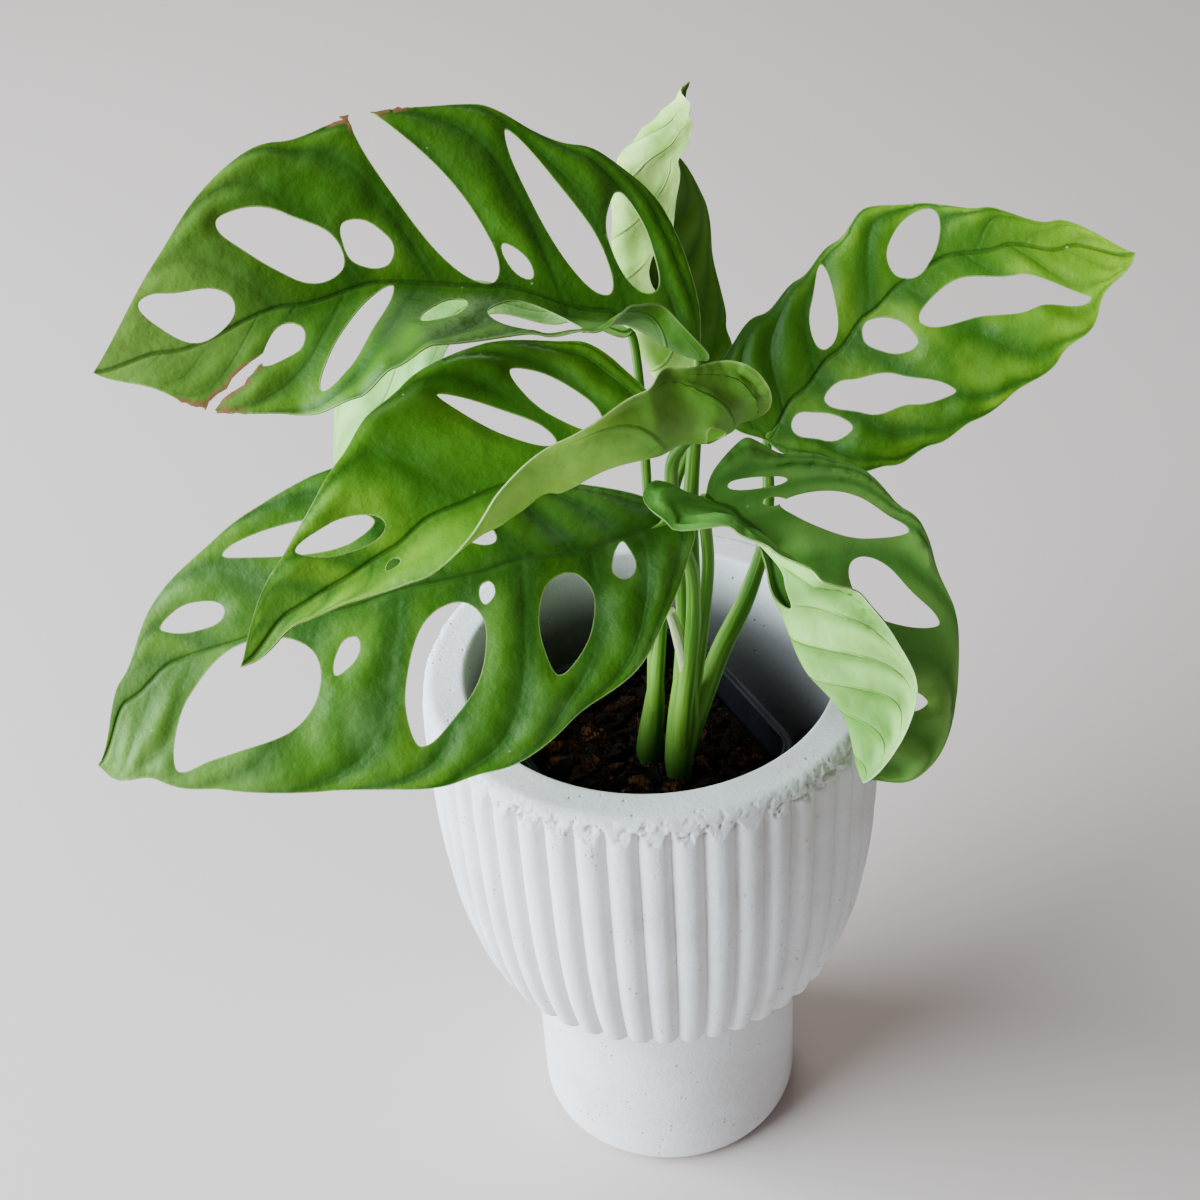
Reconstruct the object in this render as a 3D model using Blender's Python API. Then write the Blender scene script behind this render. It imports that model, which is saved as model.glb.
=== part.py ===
"""Monstera adansonii in a small square nursery pot, which stands inside a reeded, footed planter.

Metres, +Z up. The origin is at the centre of the flat underside of the planter's foot, and the
plant is seen from the -Y side. Sizes of the plant are written in millimetres and scaled by MM.
"""
import math
import random

import bmesh
import bpy
from mathutils import Vector
from mathutils.geometry import delaunay_2d_cdt

MM = 0.001
GAP = 0.3

# Planter, in millimetres
RIM_RADIUS = 71.0
RIM_TOP = 195.0
RIM_ROUND = 3.0
RIM_WALL = 13.2
REED_COUNT = 46
REED_TURN = 1.2
REED_DEPTH = 1.9
REED_TOP = 190.5
BODY_RADIUS = 72.2
LEDGE_RADIUS = 61.7
LEDGE_HEIGHT = 86.0
FOOT_RADIUS = 45.3
FOOT_ROUND = 6.0
SHOULDER_HEIGHT = 85.0
SHOULDER_RADIUS = 53.0
WELL_RADIUS = 34.0
WELL_FLOOR = 12.0

# Nursery pot, in millimetres
NURSERY_SIDE = 78.0
NURSERY_FOOT_SIDE = 60.0
NURSERY_CORNER = 12.0
NURSERY_WALL = 1.0
NURSERY_LIP = 2.2
NURSERY_LIP_DROP = 5.0
NURSERY_TOP = 174.0
NURSERY_TURN = 25.0
NURSERY_CENTRE = (-4.8, -5.4)

# Potting mix, in millimetres
SOIL_TOP = 164.0
SOIL_LUMP = 1.4
SOIL_STEP = 7.0
STEM_DEPTH = 11.0

# Leaf blades, in millimetres
BLADE_THICKNESS = 0.7
EDGE_STEP = 5.5
GRID_STEP = 8.5
RIB_RAMP = 5.0

# Stalks, in millimetres
STALK_SIDES = 8
STALK_STEP = 8.0
STALK_TIP = 1.3


def clear_scene():
    for old in list(bpy.data.objects):
        bpy.data.objects.remove(old, do_unlink=True)


def material(name, colour, roughness, metallic=0.0):
    mat = bpy.data.materials.new(name)
    mat.use_nodes = True
    shader = mat.node_tree.nodes["Principled BSDF"]
    shader.inputs["Base Color"].default_value = (*colour, 1.0)
    shader.inputs["Roughness"].default_value = roughness
    shader.inputs["Metallic"].default_value = metallic
    return mat


def add_object(name, verts, faces, mat, smooth_angle=None):
    """Make one named object from millimetre points, with its faces pointing out."""
    mesh = bpy.data.meshes.new(name)
    mesh.from_pydata([tuple(c * MM for c in v) for v in verts], [], faces)
    bm = bmesh.new()
    bm.from_mesh(mesh)
    bmesh.ops.recalc_face_normals(bm, faces=bm.faces)
    bm.to_mesh(mesh)
    bm.free()
    if smooth_angle is not None:
        mesh.shade_smooth()
        mesh.set_sharp_from_angle(angle=math.radians(smooth_angle))
    mesh.materials.append(mat)
    obj = bpy.data.objects.new(name, mesh)
    bpy.context.scene.collection.objects.link(obj)
    return obj


def eased(value):
    value = min(max(value, 0.0), 1.0)
    return value * value * (3.0 - 2.0 * value)


def stations(table, where):
    """Read a smooth value from a short table of (place, value) pairs."""
    places = [row[0] for row in table]
    if where <= places[0]:
        return table[0][1]
    for (p0, v0), (p1, v1) in zip(table, table[1:]):
        if where <= p1:
            return v0 + (v1 - v0) * eased((where - p0) / (p1 - p0))
    return table[-1][1]


def spline(points, samples):
    """Catmull-Rom points through a short list, open, with a number of samples on each span."""
    pts = [Vector(p) for p in points]
    pts = [pts[0] * 2 - pts[1]] + pts + [pts[-1] * 2 - pts[-2]]
    out = []
    for p0, p1, p2, p3 in zip(pts, pts[1:], pts[2:], pts[3:]):
        for k in range(samples):
            u = k / samples
            out.append(0.5 * (2 * p1 + (p2 - p0) * u + (2 * p0 - 5 * p1 + 4 * p2 - p3) * u * u
                              + (3 * p1 - p0 - 3 * p2 + p3) * u ** 3))
    out.append(pts[-2].copy())
    return out


def even_points(path, step):
    """Points along a path, an even step apart, with both ends kept."""
    lengths = [0.0]
    for a, b in zip(path, path[1:]):
        lengths.append(lengths[-1] + (b - a).length)
    count = max(2, round(lengths[-1] / step))
    out = []
    j = 0
    for k in range(count + 1):
        want = lengths[-1] * k / count
        while j < len(path) - 2 and lengths[j + 1] < want:
            j += 1
        span = max(lengths[j + 1] - lengths[j], 1e-9)
        out.append(path[j].lerp(path[j + 1], min(max((want - lengths[j]) / span, 0.0), 1.0)))
    return out


# Planter

def body_radius(z):
    """Crest radius of the reeded body: nearly straight, then drawn in to the ledge."""
    t = (REED_TOP - z) / (REED_TOP - LEDGE_HEIGHT)
    return BODY_RADIUS - (BODY_RADIUS - LEDGE_RADIUS) * (0.04 * t + 0.96 * t ** 4)


def planter_rings():
    """Profile of the planter from the centre of its underside round to the middle of its floor."""
    foot = FOOT_RADIUS - FOOT_ROUND
    rings = [(foot * 0.5, 0.0, 0), (foot, 0.0, 0)]
    for angle in (30, 60, 90):
        a = math.radians(angle)
        rings.append((foot + FOOT_ROUND * math.sin(a), FOOT_ROUND * (1 - math.cos(a)), 0))
    rings.append((FOOT_RADIUS, LEDGE_HEIGHT - 6.0, 0))
    rings.append((FOOT_RADIUS + 0.8, LEDGE_HEIGHT - 0.6, 0))
    rings.append((LEDGE_RADIUS - REED_DEPTH - 1.0, LEDGE_HEIGHT, 0))
    for height in (0.6, 6.0, 14.0, 26.0, 50.0, REED_TOP - LEDGE_HEIGHT - 4.0):
        z = LEDGE_HEIGHT + height
        rings.append((body_radius(z), z, 1))
    rings.append((RIM_RADIUS, REED_TOP, 0))
    rings.append((RIM_RADIUS, RIM_TOP - RIM_ROUND, 0))
    rings.append((RIM_RADIUS - 0.3 * RIM_ROUND, RIM_TOP - 0.3 * RIM_ROUND, 0))
    rings.append((RIM_RADIUS - RIM_ROUND, RIM_TOP, 0))
    inner = RIM_RADIUS - RIM_WALL
    rings.append((inner + 1.5, RIM_TOP, 0))
    rings.append((inner, RIM_TOP - 1.5, 0))
    rings.append((inner - 0.8, 0.5 * (RIM_TOP + SHOULDER_HEIGHT), 0))
    rings.append((SHOULDER_RADIUS, SHOULDER_HEIGHT + 4.0, 0))
    rings.append((SHOULDER_RADIUS - 3.0, SHOULDER_HEIGHT, 0))
    rings.append((WELL_RADIUS, SHOULDER_HEIGHT, 0))
    rings.append((WELL_RADIUS - 1.0, WELL_FLOOR + 3.0, 0))
    rings.append((WELL_RADIUS - 4.0, WELL_FLOOR, 0))
    return rings


def ring_points(radius, z, reeded):
    """A plain ring has two points a reed; a reeded one has four: valley, flank, crest, flank."""
    per_reed = 4 if reeded else 2
    count = REED_COUNT * per_reed
    dips = (REED_DEPTH, 0.45, 0.0, 0.45) if reeded else (0.0, 0.0)
    points = []
    for k in range(count):
        a = 2 * math.pi * k / count + math.radians(REED_TURN)
        r = radius - dips[k % per_reed]
        points.append((r * math.sin(a), -r * math.cos(a), z))
    return points


def bridge(low, high, faces):
    """Join two closed rings of points whose counts are equal or differ by a whole factor."""
    few, many = (low, high) if len(low) <= len(high) else (high, low)
    ratio = len(many) // len(few)
    for k in range(len(few)):
        a, b = few[k], few[(k + 1) % len(few)]
        run = [many[(k * ratio + j) % len(many)] for j in range(ratio + 1)]
        half = (ratio + 1) // 2
        for j in range(half):
            faces.append((a, run[j], run[j + 1]))
        faces.append((a, run[half], b))
        for j in range(half, ratio):
            faces.append((b, run[j], run[j + 1]))


def make_planter():
    verts = [(0.0, 0.0, 0.0)]
    faces = []
    loops = []
    for radius, z, reeded in planter_rings():
        points = ring_points(radius, z, reeded)
        loops.append(list(range(len(verts), len(verts) + len(points))))
        verts.extend(points)
    for k, a in enumerate(loops[0]):
        faces.append((0, a, loops[0][(k + 1) % len(loops[0])]))
    for low, high in zip(loops, loops[1:]):
        bridge(low, high, faces)
    floor = len(verts)
    verts.append((0.0, 0.0, WELL_FLOOR))
    for k, a in enumerate(loops[-1]):
        faces.append((floor, a, loops[-1][(k + 1) % len(loops[-1])]))
    mat = material("cast_white", (0.74, 0.74, 0.73), 0.85)
    return add_object("outer_pot", verts, faces, mat, 40)


# Nursery pot and mix

def rounded_square(side, corner, z, per_corner=4):
    """Corner points of a rounded square, turned and placed as the nursery pot stands."""
    half = side / 2 - corner
    points = []
    for quarter in range(4):
        cx = half * (1 if quarter in (0, 3) else -1)
        cy = half * (1 if quarter in (0, 1) else -1)
        for k in range(per_corner):
            a = math.radians(90 * quarter + 90 * k / (per_corner - 1))
            points.append((cx + corner * math.cos(a), cy + corner * math.sin(a)))
    turn = math.radians(NURSERY_TURN)
    placed = []
    for x, y in points:
        placed.append((x * math.cos(turn) - y * math.sin(turn) + NURSERY_CENTRE[0],
                       x * math.sin(turn) + y * math.cos(turn) + NURSERY_CENTRE[1], z))
    return placed


def nursery_side(z):
    t = (z - SHOULDER_HEIGHT) / (NURSERY_TOP - SHOULDER_HEIGHT)
    return NURSERY_FOOT_SIDE + (NURSERY_SIDE - 2 * NURSERY_LIP - NURSERY_FOOT_SIDE) * t


def stacked_loops(loops, capped_by):
    """Skin a stack of equal loops, closed at both ends by a fan round a middle point."""
    verts = []
    faces = []
    rows = []
    for loop in loops:
        rows.append(list(range(len(verts), len(verts) + len(loop))))
        verts.extend(loop)
    for low, high in zip(rows, rows[1:]):
        count = len(low)
        for k in range(count):
            n = (k + 1) % count
            faces.append((low[k], low[n], high[n]))
            faces.append((low[k], high[n], high[k]))
    for row, z in ((rows[0], capped_by[0]), (rows[-1], capped_by[1])):
        mid = len(verts)
        verts.append((NURSERY_CENTRE[0], NURSERY_CENTRE[1], z))
        for k in range(len(row)):
            faces.append((mid, row[k], row[(k + 1) % len(row)]))
    return verts, faces


def make_nursery_pot():
    foot = SHOULDER_HEIGHT + GAP
    drop = NURSERY_TOP - NURSERY_LIP_DROP
    inner_floor = foot + NURSERY_WALL
    lip_inner = nursery_side(NURSERY_TOP) - 2 * NURSERY_WALL
    loops = [
        rounded_square(NURSERY_FOOT_SIDE, NURSERY_CORNER - 3, foot),
        rounded_square(nursery_side(drop), NURSERY_CORNER, drop),
        rounded_square(NURSERY_SIDE, NURSERY_CORNER + 1, drop),
        rounded_square(NURSERY_SIDE, NURSERY_CORNER + 1, NURSERY_TOP),
        rounded_square(lip_inner, NURSERY_CORNER - 1, NURSERY_TOP),
        rounded_square(nursery_side(inner_floor) - 2 * NURSERY_WALL, NURSERY_CORNER - 4, inner_floor),
    ]
    verts, faces = stacked_loops(loops, (foot, inner_floor))
    mat = material("black_plastic", (0.012, 0.012, 0.014), 0.55)
    return add_object("nursery_pot", verts, faces, mat, 40)


def make_soil():
    """A filled block with a lumpy top of chips, and a plain round hole for each clump's stem."""
    rng = random.Random(7)
    low = SHOULDER_HEIGHT + GAP + NURSERY_WALL + GAP
    shrink = 2 * (NURSERY_WALL + GAP + 0.2)
    floor = rounded_square(nursery_side(low) - shrink, NURSERY_CORNER - 4, low)
    edge = rounded_square(nursery_side(SOIL_TOP) - shrink, NURSERY_CORNER - 2, SOIL_TOP)
    ring = even_points([Vector(p) for p in edge + edge[:1]], 7.0)[:-1]
    count = len(ring)
    outline = [p.to_2d() for p in ring]
    inside = []
    reach = int(NURSERY_SIDE / SOIL_STEP)
    for i in range(-reach, reach + 1):
        for j in range(-reach, reach + 1):
            p = Vector((NURSERY_CENTRE[0] + (i + 0.5 * (j % 2)) * SOIL_STEP,
                        NURSERY_CENTRE[1] + j * SOIL_STEP * 0.87))
            near = min((p - q).length for q in outline)
            if point_inside(p, outline) and near > 0.5 * SOIL_STEP:
                inside.append(p)
    points = outline + inside
    edges = [(k, (k + 1) % count) for k in range(count)]
    flat, _, tris, *_ = delaunay_2d_cdt(points, edges, [], 1, 1e-4)
    lift = [0.0 if k < count else SOIL_LUMP * (2 * rng.random() - 1) for k in range(len(flat))]
    verts = [(p.x, p.y, SOIL_TOP + dz) for p, dz in zip(flat, lift)]
    faces = [tuple(t) for t in tris]
    scale = (nursery_side(low) - shrink) / (nursery_side(SOIL_TOP) - shrink)
    base = len(verts)
    for p in outline:
        verts.append((NURSERY_CENTRE[0] + (p.x - NURSERY_CENTRE[0]) * scale,
                      NURSERY_CENTRE[1] + (p.y - NURSERY_CENTRE[1]) * scale, floor[0][2]))
    for k in range(count):
        n = (k + 1) % count
        faces.append((k, n, base + n))
        faces.append((k, base + n, base + k))
    mid = len(verts)
    verts.append((NURSERY_CENTRE[0], NURSERY_CENTRE[1], floor[0][2]))
    for k in range(count):
        faces.append((mid, base + k, base + (k + 1) % count))
    mat = material("bark_mix", (0.045, 0.026, 0.016), 0.95)
    soil = add_object("soil", verts, faces, mat)
    for clump in CLUMPS:
        x, y, _, radius = clump["stem"][0]
        drill(soil, x, y, radius)
    return soil


def drill(obj, x, y, radius):
    """Cut a plain round hole for a stem straight down into the mix."""
    depth = STEM_DEPTH + 0.5
    bpy.ops.mesh.primitive_cylinder_add(
        vertices=12, radius=(radius + 2 * GAP) * MM, depth=(depth + 10) * MM,
        location=(x * MM, y * MM, (SOIL_TOP - depth + (depth + 10) / 2) * MM))
    cutter = bpy.context.object
    cut = obj.modifiers.new("hole", "BOOLEAN")
    cut.operation = "DIFFERENCE"
    cut.object = cutter
    apply_modifiers(obj)
    bpy.data.objects.remove(cutter, do_unlink=True)


def apply_modifiers(obj):
    graph = bpy.context.evaluated_depsgraph_get()
    mesh = bpy.data.meshes.new_from_object(obj.evaluated_get(graph))
    obj.modifiers.clear()
    obj.data = mesh


# Leaf blades

class Leaf:
    """One blade: where its rib runs, which way it faces, its two halves and its holes.

    x runs from the base along the chord to the tip and y across it, in millimetres, positive on
    the left when looking from base to tip on the upper side. bow and lift bend the rib sideways
    and up. fold and edge give each half's angle to the blade's plane at the rib and out at reach.
    """

    def __init__(self, name, base, tip, face, bow, left, right, holes, **more):
        self.name = name
        self.base = Vector(base)
        self.along = Vector(tip) - self.base
        self.length = self.along.length
        self.along.normalize()
        self.face = Vector(face)
        self.face = (self.face - self.along * self.face.dot(self.along)).normalized()
        self.side = self.face.cross(self.along)
        self.bow = bow
        self.lift = more.get("lift", [(0, 0), (self.length, 0)])
        self.left = left
        self.right = right
        self.holes = holes
        self.fold = {1: more.get("left_fold", [(0, 8)]), -1: more.get("right_fold", [(0, 8)])}
        self.edge = {1: more.get("left_edge", [(0, -6)]), -1: more.get("right_edge", [(0, -6)])}
        self.reach = {1: more.get("left_reach", 35.0), -1: more.get("right_reach", 35.0)}
        self.colour = more.get("colour", (0.060, 0.190, 0.022))

    def point(self, x, y):
        """Place of a flat point (x, y) on the bent blade's middle surface."""
        half = 1 if y >= 0 else -1
        fold = math.radians(stations(self.fold[half], x))
        edge = math.radians(stations(self.edge[half], x))
        across = 0.0
        up = 0.0
        steps = 14
        step = abs(y) / steps
        for k in range(steps):
            v = (k + 0.5) * step
            angle = fold * eased(v / RIB_RAMP) + (edge - fold) * min(v / self.reach[half], 1.0)
            across += math.cos(angle) * step
            up += math.sin(angle) * step
        return (self.base + self.along * x
                + self.side * (stations(self.bow, x) + half * across)
                + self.face * (stations(self.lift, x) + up))

    def outline(self, step):
        """Margin of the blade: left half from base to tip, then the right half back."""
        left = [Vector((x, y)) for x, y in self.left]
        right = [Vector((x, -y)) for x, y in self.right]
        up = even_points(spline([(p.x, p.y, 0) for p in left], 6), step)
        down = even_points(spline([(p.x, p.y, 0) for p in reversed(right)], 6), step)
        loop = [p.to_2d() for p in up] + [p.to_2d() for p in down[1:-1]]
        return loop


def teardrop(x, y, length, width, slant, taper=0.25, step=5.0):
    """A hole in the blade: a slanted oval, blunter towards the rib for a positive taper."""
    count = max(8, round(math.pi * (length + width) / 2 / step))
    turn = math.radians(slant)
    points = []
    for k in range(count):
        a = 2 * math.pi * k / count
        u = length / 2 * math.cos(a)
        v = width / 2 * math.sin(a) * (1 - taper * math.cos(a))
        points.append(Vector((x + u * math.cos(turn) - v * math.sin(turn),
                              y + u * math.sin(turn) + v * math.cos(turn))))
    return points


def point_inside(p, loop):
    inside = False
    for a, b in zip(loop, loop[1:] + loop[:1]):
        if (a.y > p.y) != (b.y > p.y):
            if p.x < (b.x - a.x) * (p.y - a.y) / (b.y - a.y) + a.x:
                inside = not inside
    return inside


def blade_grid(leaf, loops, step):
    """Inner points: a row on the rib, rows beside it, and an even spread over the rest."""
    points = []
    count = int(leaf.length / step)
    rows = [0.0, 0.6 * RIB_RAMP, -0.6 * RIB_RAMP]
    for y in rows:
        for k in range(1, count + 1):
            points.append(Vector((leaf.length * k / (count + 1), y)))
    reach = int(70 / step)
    for i in range(-4, int(leaf.length / step) + 4):
        for j in range(-reach, reach + 1):
            y = j * step * 0.87
            if abs(y) > 1.0 * step:
                points.append(Vector(((i + 0.5 * (j % 2)) * step, y)))
    outline = loops[0]
    kept = []
    for p in points:
        if not point_inside(p, outline):
            continue
        if any(point_inside(p, hole) for hole in loops[1:]):
            continue
        if min(distance_to_loop(p, loop) for loop in loops) > 0.42 * step:
            kept.append(p)
    return kept


def distance_to_loop(p, loop):
    best = 1e9
    for a, b in zip(loop, loop[1:] + loop[:1]):
        ab = b - a
        t = max(0.0, min(1.0, (p - a).dot(ab) / max(ab.length_squared, 1e-12)))
        best = min(best, (p - (a + ab * t)).length)
    return best


def flat_blade(leaf, edge_step, grid_step):
    """Triangles of the flat blade with its holes and slits cut out."""
    outline = leaf.outline(edge_step)
    holes = [teardrop(*hole, step=edge_step) for hole in leaf.holes]
    loops = [outline] + holes
    points = []
    edges = []
    for loop in loops:
        start = len(points)
        points.extend(loop)
        edges.extend((start + k, start + (k + 1) % len(loop)) for k in range(len(loop)))
    points.extend(blade_grid(leaf, loops, grid_step))
    flat, _, tris, *_ = delaunay_2d_cdt(points, edges, [], 0, 1e-4)
    kept = []
    for tri in tris:
        a, b, c = (flat[k] for k in tri)
        middle = (a + b + c) / 3
        if not point_inside(middle, outline):
            continue
        if any(point_inside(middle, hole) for hole in holes):
            continue
        kept.append(tuple(tri))
    return flat, largest_piece(kept)


def largest_piece(tris):
    """Keep the triangles that hang together with the most others, edge to edge."""
    by_edge = {}
    for index, tri in enumerate(tris):
        for a, b in zip(tri, tri[1:] + tri[:1]):
            by_edge.setdefault((min(a, b), max(a, b)), []).append(index)
    group = [-1] * len(tris)
    sizes = []
    for start in range(len(tris)):
        if group[start] >= 0:
            continue
        stack = [start]
        group[start] = len(sizes)
        size = 0
        while stack:
            tri = tris[stack.pop()]
            size += 1
            for a, b in zip(tri, tri[1:] + tri[:1]):
                for other in by_edge[(min(a, b), max(a, b))]:
                    if group[other] < 0:
                        group[other] = len(sizes)
                        stack.append(other)
        sizes.append(size)
    best = sizes.index(max(sizes))
    return [tri for tri, g in zip(tris, group) if g == best]


def thick_blade(leaf, edge_step, grid_step, thickness):
    """Bend the flat blade and give it thickness: both faces share the same triangles."""
    flat, tris = flat_blade(leaf, edge_step, grid_step)
    used = sorted({k for tri in tris for k in tri})
    number = {k: n for n, k in enumerate(used)}
    tris = [tuple(number[k] for k in tri) for tri in tris]
    middle = [leaf.point(flat[k].x, flat[k].y) for k in used]
    normals = [Vector((0, 0, 0)) for _ in middle]
    for a, b, c in tris:
        n = (middle[b] - middle[a]).cross(middle[c] - middle[a])
        for k in (a, b, c):
            normals[k] += n
    top = [p + n.normalized() * thickness / 2 for p, n in zip(middle, normals)]
    under = [p - n.normalized() * thickness / 2 for p, n in zip(middle, normals)]
    count = len(middle)
    faces = [tri for tri in tris] + [(c + count, b + count, a + count) for a, b, c in tris]
    seen = {}
    for tri in tris:
        for a, b in zip(tri, tri[1:] + tri[:1]):
            seen[(a, b)] = seen.get((a, b), 0) + 1
    for a, b in seen:
        if (b, a) not in seen:
            faces.append((b, a, a + count))
            faces.append((b, a + count, b + count))
    return top + under, faces


LEAVES = [
    Leaf("leaf_upper_left", (19, 4, 304), (-141, -30, 331), (0.26, -0.59, 0.77),
         [(0, 0), (27, -13), (55, -21), (87, -23), (112, -17), (146, -5), (165, 0)],
         [(0, 0), (2, 14), (14, 24), (30, 29), (45, 31), (60, 33), (75, 37), (88, 40), (100, 38), (116, 32),
          (128, 26), (139, 18), (154, 7), (165, 0)],
         [(0, 0), (-1, 14), (2, 34), (7, 46), (18, 50), (38, 52), (55, 56), (72, 54), (89, 51),
          (105, 49), (122, 47), (136, 40), (148, 24), (158, 10), (165, 0)],
         [(36, -27, 50, 13, -63), (49.5, -8, 11, 6, -50), (16, -25, 30, 13, -88), (74, -28, 64, 17, -57, 0.3),
          (114, -19, 41, 15, -38), (91, -12, 18, 11, -50), (140, -9, 27, 13, -25), (116, 11, 14, 9, 40),
          (131, 17, 26, 3.6, 24), (96, 15, 36, 9, 51, -0.3), (73, 13, 20, 7, 45), (49, 17, 23, 24, 80)],
         left_fold=[(0, 55), (20, 50), (35, 40), (50, 34), (80, 34), (91, 28), (100, 20), (116, 8)],
         left_edge=[(0, 150), (14, 150), (25, 115), (38, 75), (50, 58), (80, 52), (91, 42), (100, 28),
                    (116, 10)]),
    Leaf("leaf_centre", (16, -22, 296), (-106, -85, 275), (0.12, -0.51, 0.85),
         [(0, 0), (16, -5), (39, -9), (64, -11.5), (76, -12.5), (90, -9.5), (106, -8), (120, -7), (139, 0)],
         [(0, 0), (-12, 7), (-16, 20), (-11, 33), (4, 40), (20, 41), (37, 40), (57, 37), (71, 30), (86, 19),
          (104, 10), (120, 5), (130, 3), (139, 0)],
         [(0, 0), (6, 12), (12, 30), (22, 36), (34, 40), (45, 42), (58, 40), (69, 36), (81, 32), (95, 26),
          (110, 17), (121, 11), (132, 6), (139, 0)],
         [(30, -18.5, 27, 11, -62), (47, -18.5, 33, 7, -51), (100, -10, 25, 9, -15), (92, 4.5, 5, 3, 20),
          (30, 14, 32, 12, 8), (2, 16, 12, 5, 70)],
         left_fold=[(0, 20), (45, 20), (64, 5), (80, 5), (94, 20), (108, 30), (130, 30)],
         left_edge=[(-10, 185), (7, 165), (19, 140), (37, 125), (64, 132), (80, 108), (94, 80), (130, 80)]),
    Leaf("leaf_lower_left", (7, -30, 271), (-152, -75, 236), (0.02, -0.66, 0.75),
         [(0, 0), (20, -1), (48, -7), (82, -12), (116, -16), (140, -18), (155, -13), (169, 0)],
         [(0, 0), (-5, 5), (0, 12), (10, 23), (21, 33), (32, 40), (45, 46), (64, 54), (76, 55), (90, 54),
          (119, 46), (140, 38), (155, 24), (165, 9), (169, 0)],
         [(0, 0), (0, 6), (6, 14), (17, 22), (30, 30), (50, 38), (80, 40), (91, 39), (106, 34), (121, 28),
          (133, 22), (144, 14), (155, 6), (169, 0)],
         [(127, 17, 48, 26, 18), (131, -10, 18, 8, 0), (96, -23, 42, 10, -4), (96.5, 13, 13, 5, 45),
          (74, 25, 44, 18, 52), (54.5, 6, 7, 4, 60), (38, 20, 32, 13, 62), (16.5, 6, 11, 6, 70, -0.4),
          (54, -17, 24, 8, -52)],
         right_fold=[(0, -40), (30, -40), (60, -10), (80, 0)]),
    Leaf("leaf_right", (39, 24, 259), (152, 40, 306), (-0.14, -0.71, 0.69),
         [(0, 0), (15, 8), (30, 14), (44, 20), (58, 24), (71, 25), (88, 20), (104, 11), (121, 0)],
         [(0, 0), (-7, 8), (-6, 20), (2, 29), (19, 26), (31, 25), (47, 24), (58, 25), (70, 19), (85, 14),
          (98, 10), (112, 7), (121, 0)],
         [(0, 0), (4, 9), (12, 20), (22, 33), (36, 41), (51, 46), (67, 47), (83, 41), (97, 30), (108, 16),
          (116, 6), (121, 0)],
         [(33, 12.5, 22, 9, 63), (66, 8.5, 22, 14, 35), (80, -15, 47, 13, -5), (47, -10, 20, 9, -52),
          (39, -22, 46, 9, -40), (17, -13, 23, 7, -47)]),
    Leaf("leaf_drooping", (17, -24, 274), (60, -58, 194), (0.29, -0.81, 0.50),
         [(0, 0), (9, 6), (19, 9), (37, 4.5), (57, 2), (75, 5), (97, 0)],
         [(0, 0), (-5, 6), (-8, 17), (-5, 21), (4, 26), (11, 31), (20, 36), (32, 43), (41, 48), (51, 49),
          (65, 46), (78, 40), (91, 35), (99, 28), (104, 19), (104, 9), (97, 0)],
         [(0, 0), (-4, 4), (-9, 7), (-12, 11), (-9, 16), (0, 17), (10, 18), (20, 22), (32, 28), (46, 33),
          (60, 33), (74, 29), (86, 21), (94, 10), (97, 0)],
         [(28, 27, 44, 10, 50), (55, 30, 34, 13, 25), (85, 20, 11, 5, 60), (12, 10, 6, 3, 60),
          (5, 12, 13, 5, 52), (29, -8, 20, 10, 0)],
         right_fold=[(-12, 0), (0, 30), (7, 70), (18, 78), (30, 92), (42, 107), (60, 115), (97, 120)],
         right_edge=[(-12, 0), (0, 35), (7, 74), (18, 87), (30, 117), (42, 137), (60, 150), (97, 150)],
         right_reach=30.0),
    Leaf("leaf_young", (18, 46, 264), (22, 64, 357), (0.31, -0.94, 0.17),
         [(0, 0), (10, 9), (20, 15), (45, 19.5), (61, 19.5), (74, 17.5), (81, 12.5), (86, 7), (91, 2),
          (95, 0)],
         [(0, 0), (4, 14), (15, 26), (30, 27), (50, 27), (64, 28), (74, 27), (82, 21), (88, 12), (92, 5),
          (95, 0)],
         [(0, 0), (2, 11), (9, 21), (18, 27), (30, 28), (43, 28), (54, 27), (62, 24), (70, 18), (78, 10),
          (86, 4), (91, 1), (95, 0)],
         [(42, 22, 12, 4, 0)],
         lift=[(0, 0), (40, -4), (75, -4), (95, 0)],
         left_fold=[(0, 0), (74, 0), (84, 60), (92, 110)], left_edge=[(0, 165)], left_reach=15.0),
    Leaf("leaf_back", (1, 34, 294), (-89, 3, 268), (-0.20, -0.20, 0.96),
         [(0, 0), (15, -8), (40, -17), (60, -14), (80, -5), (98, 0)],
         [(0, 0), (5, 4), (15, 6), (30, 6), (45, 7), (52, 10), (60, 17), (72, 19), (86, 10), (98, 0)],
         [(0, 0), (3, 5), (12, 9), (30, 11), (52, 11), (70, 18), (84, 22), (92, 13), (98, 0)],
         [(66, -6, 11, 5, -50)],
         lift=[(0, 0), (18, 13), (37, 22), (57, 22), (78, 13), (98, 0)],
         left_edge=[(0, -40)], right_edge=[(0, -25)]),
]


def make_leaf(leaf):
    verts, faces = thick_blade(leaf, EDGE_STEP, GRID_STEP, BLADE_THICKNESS)
    mat = material(leaf.name + "_green", leaf.colour, 0.45)
    return add_object(leaf.name, verts, faces, mat, 60)


# Stalks

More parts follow.
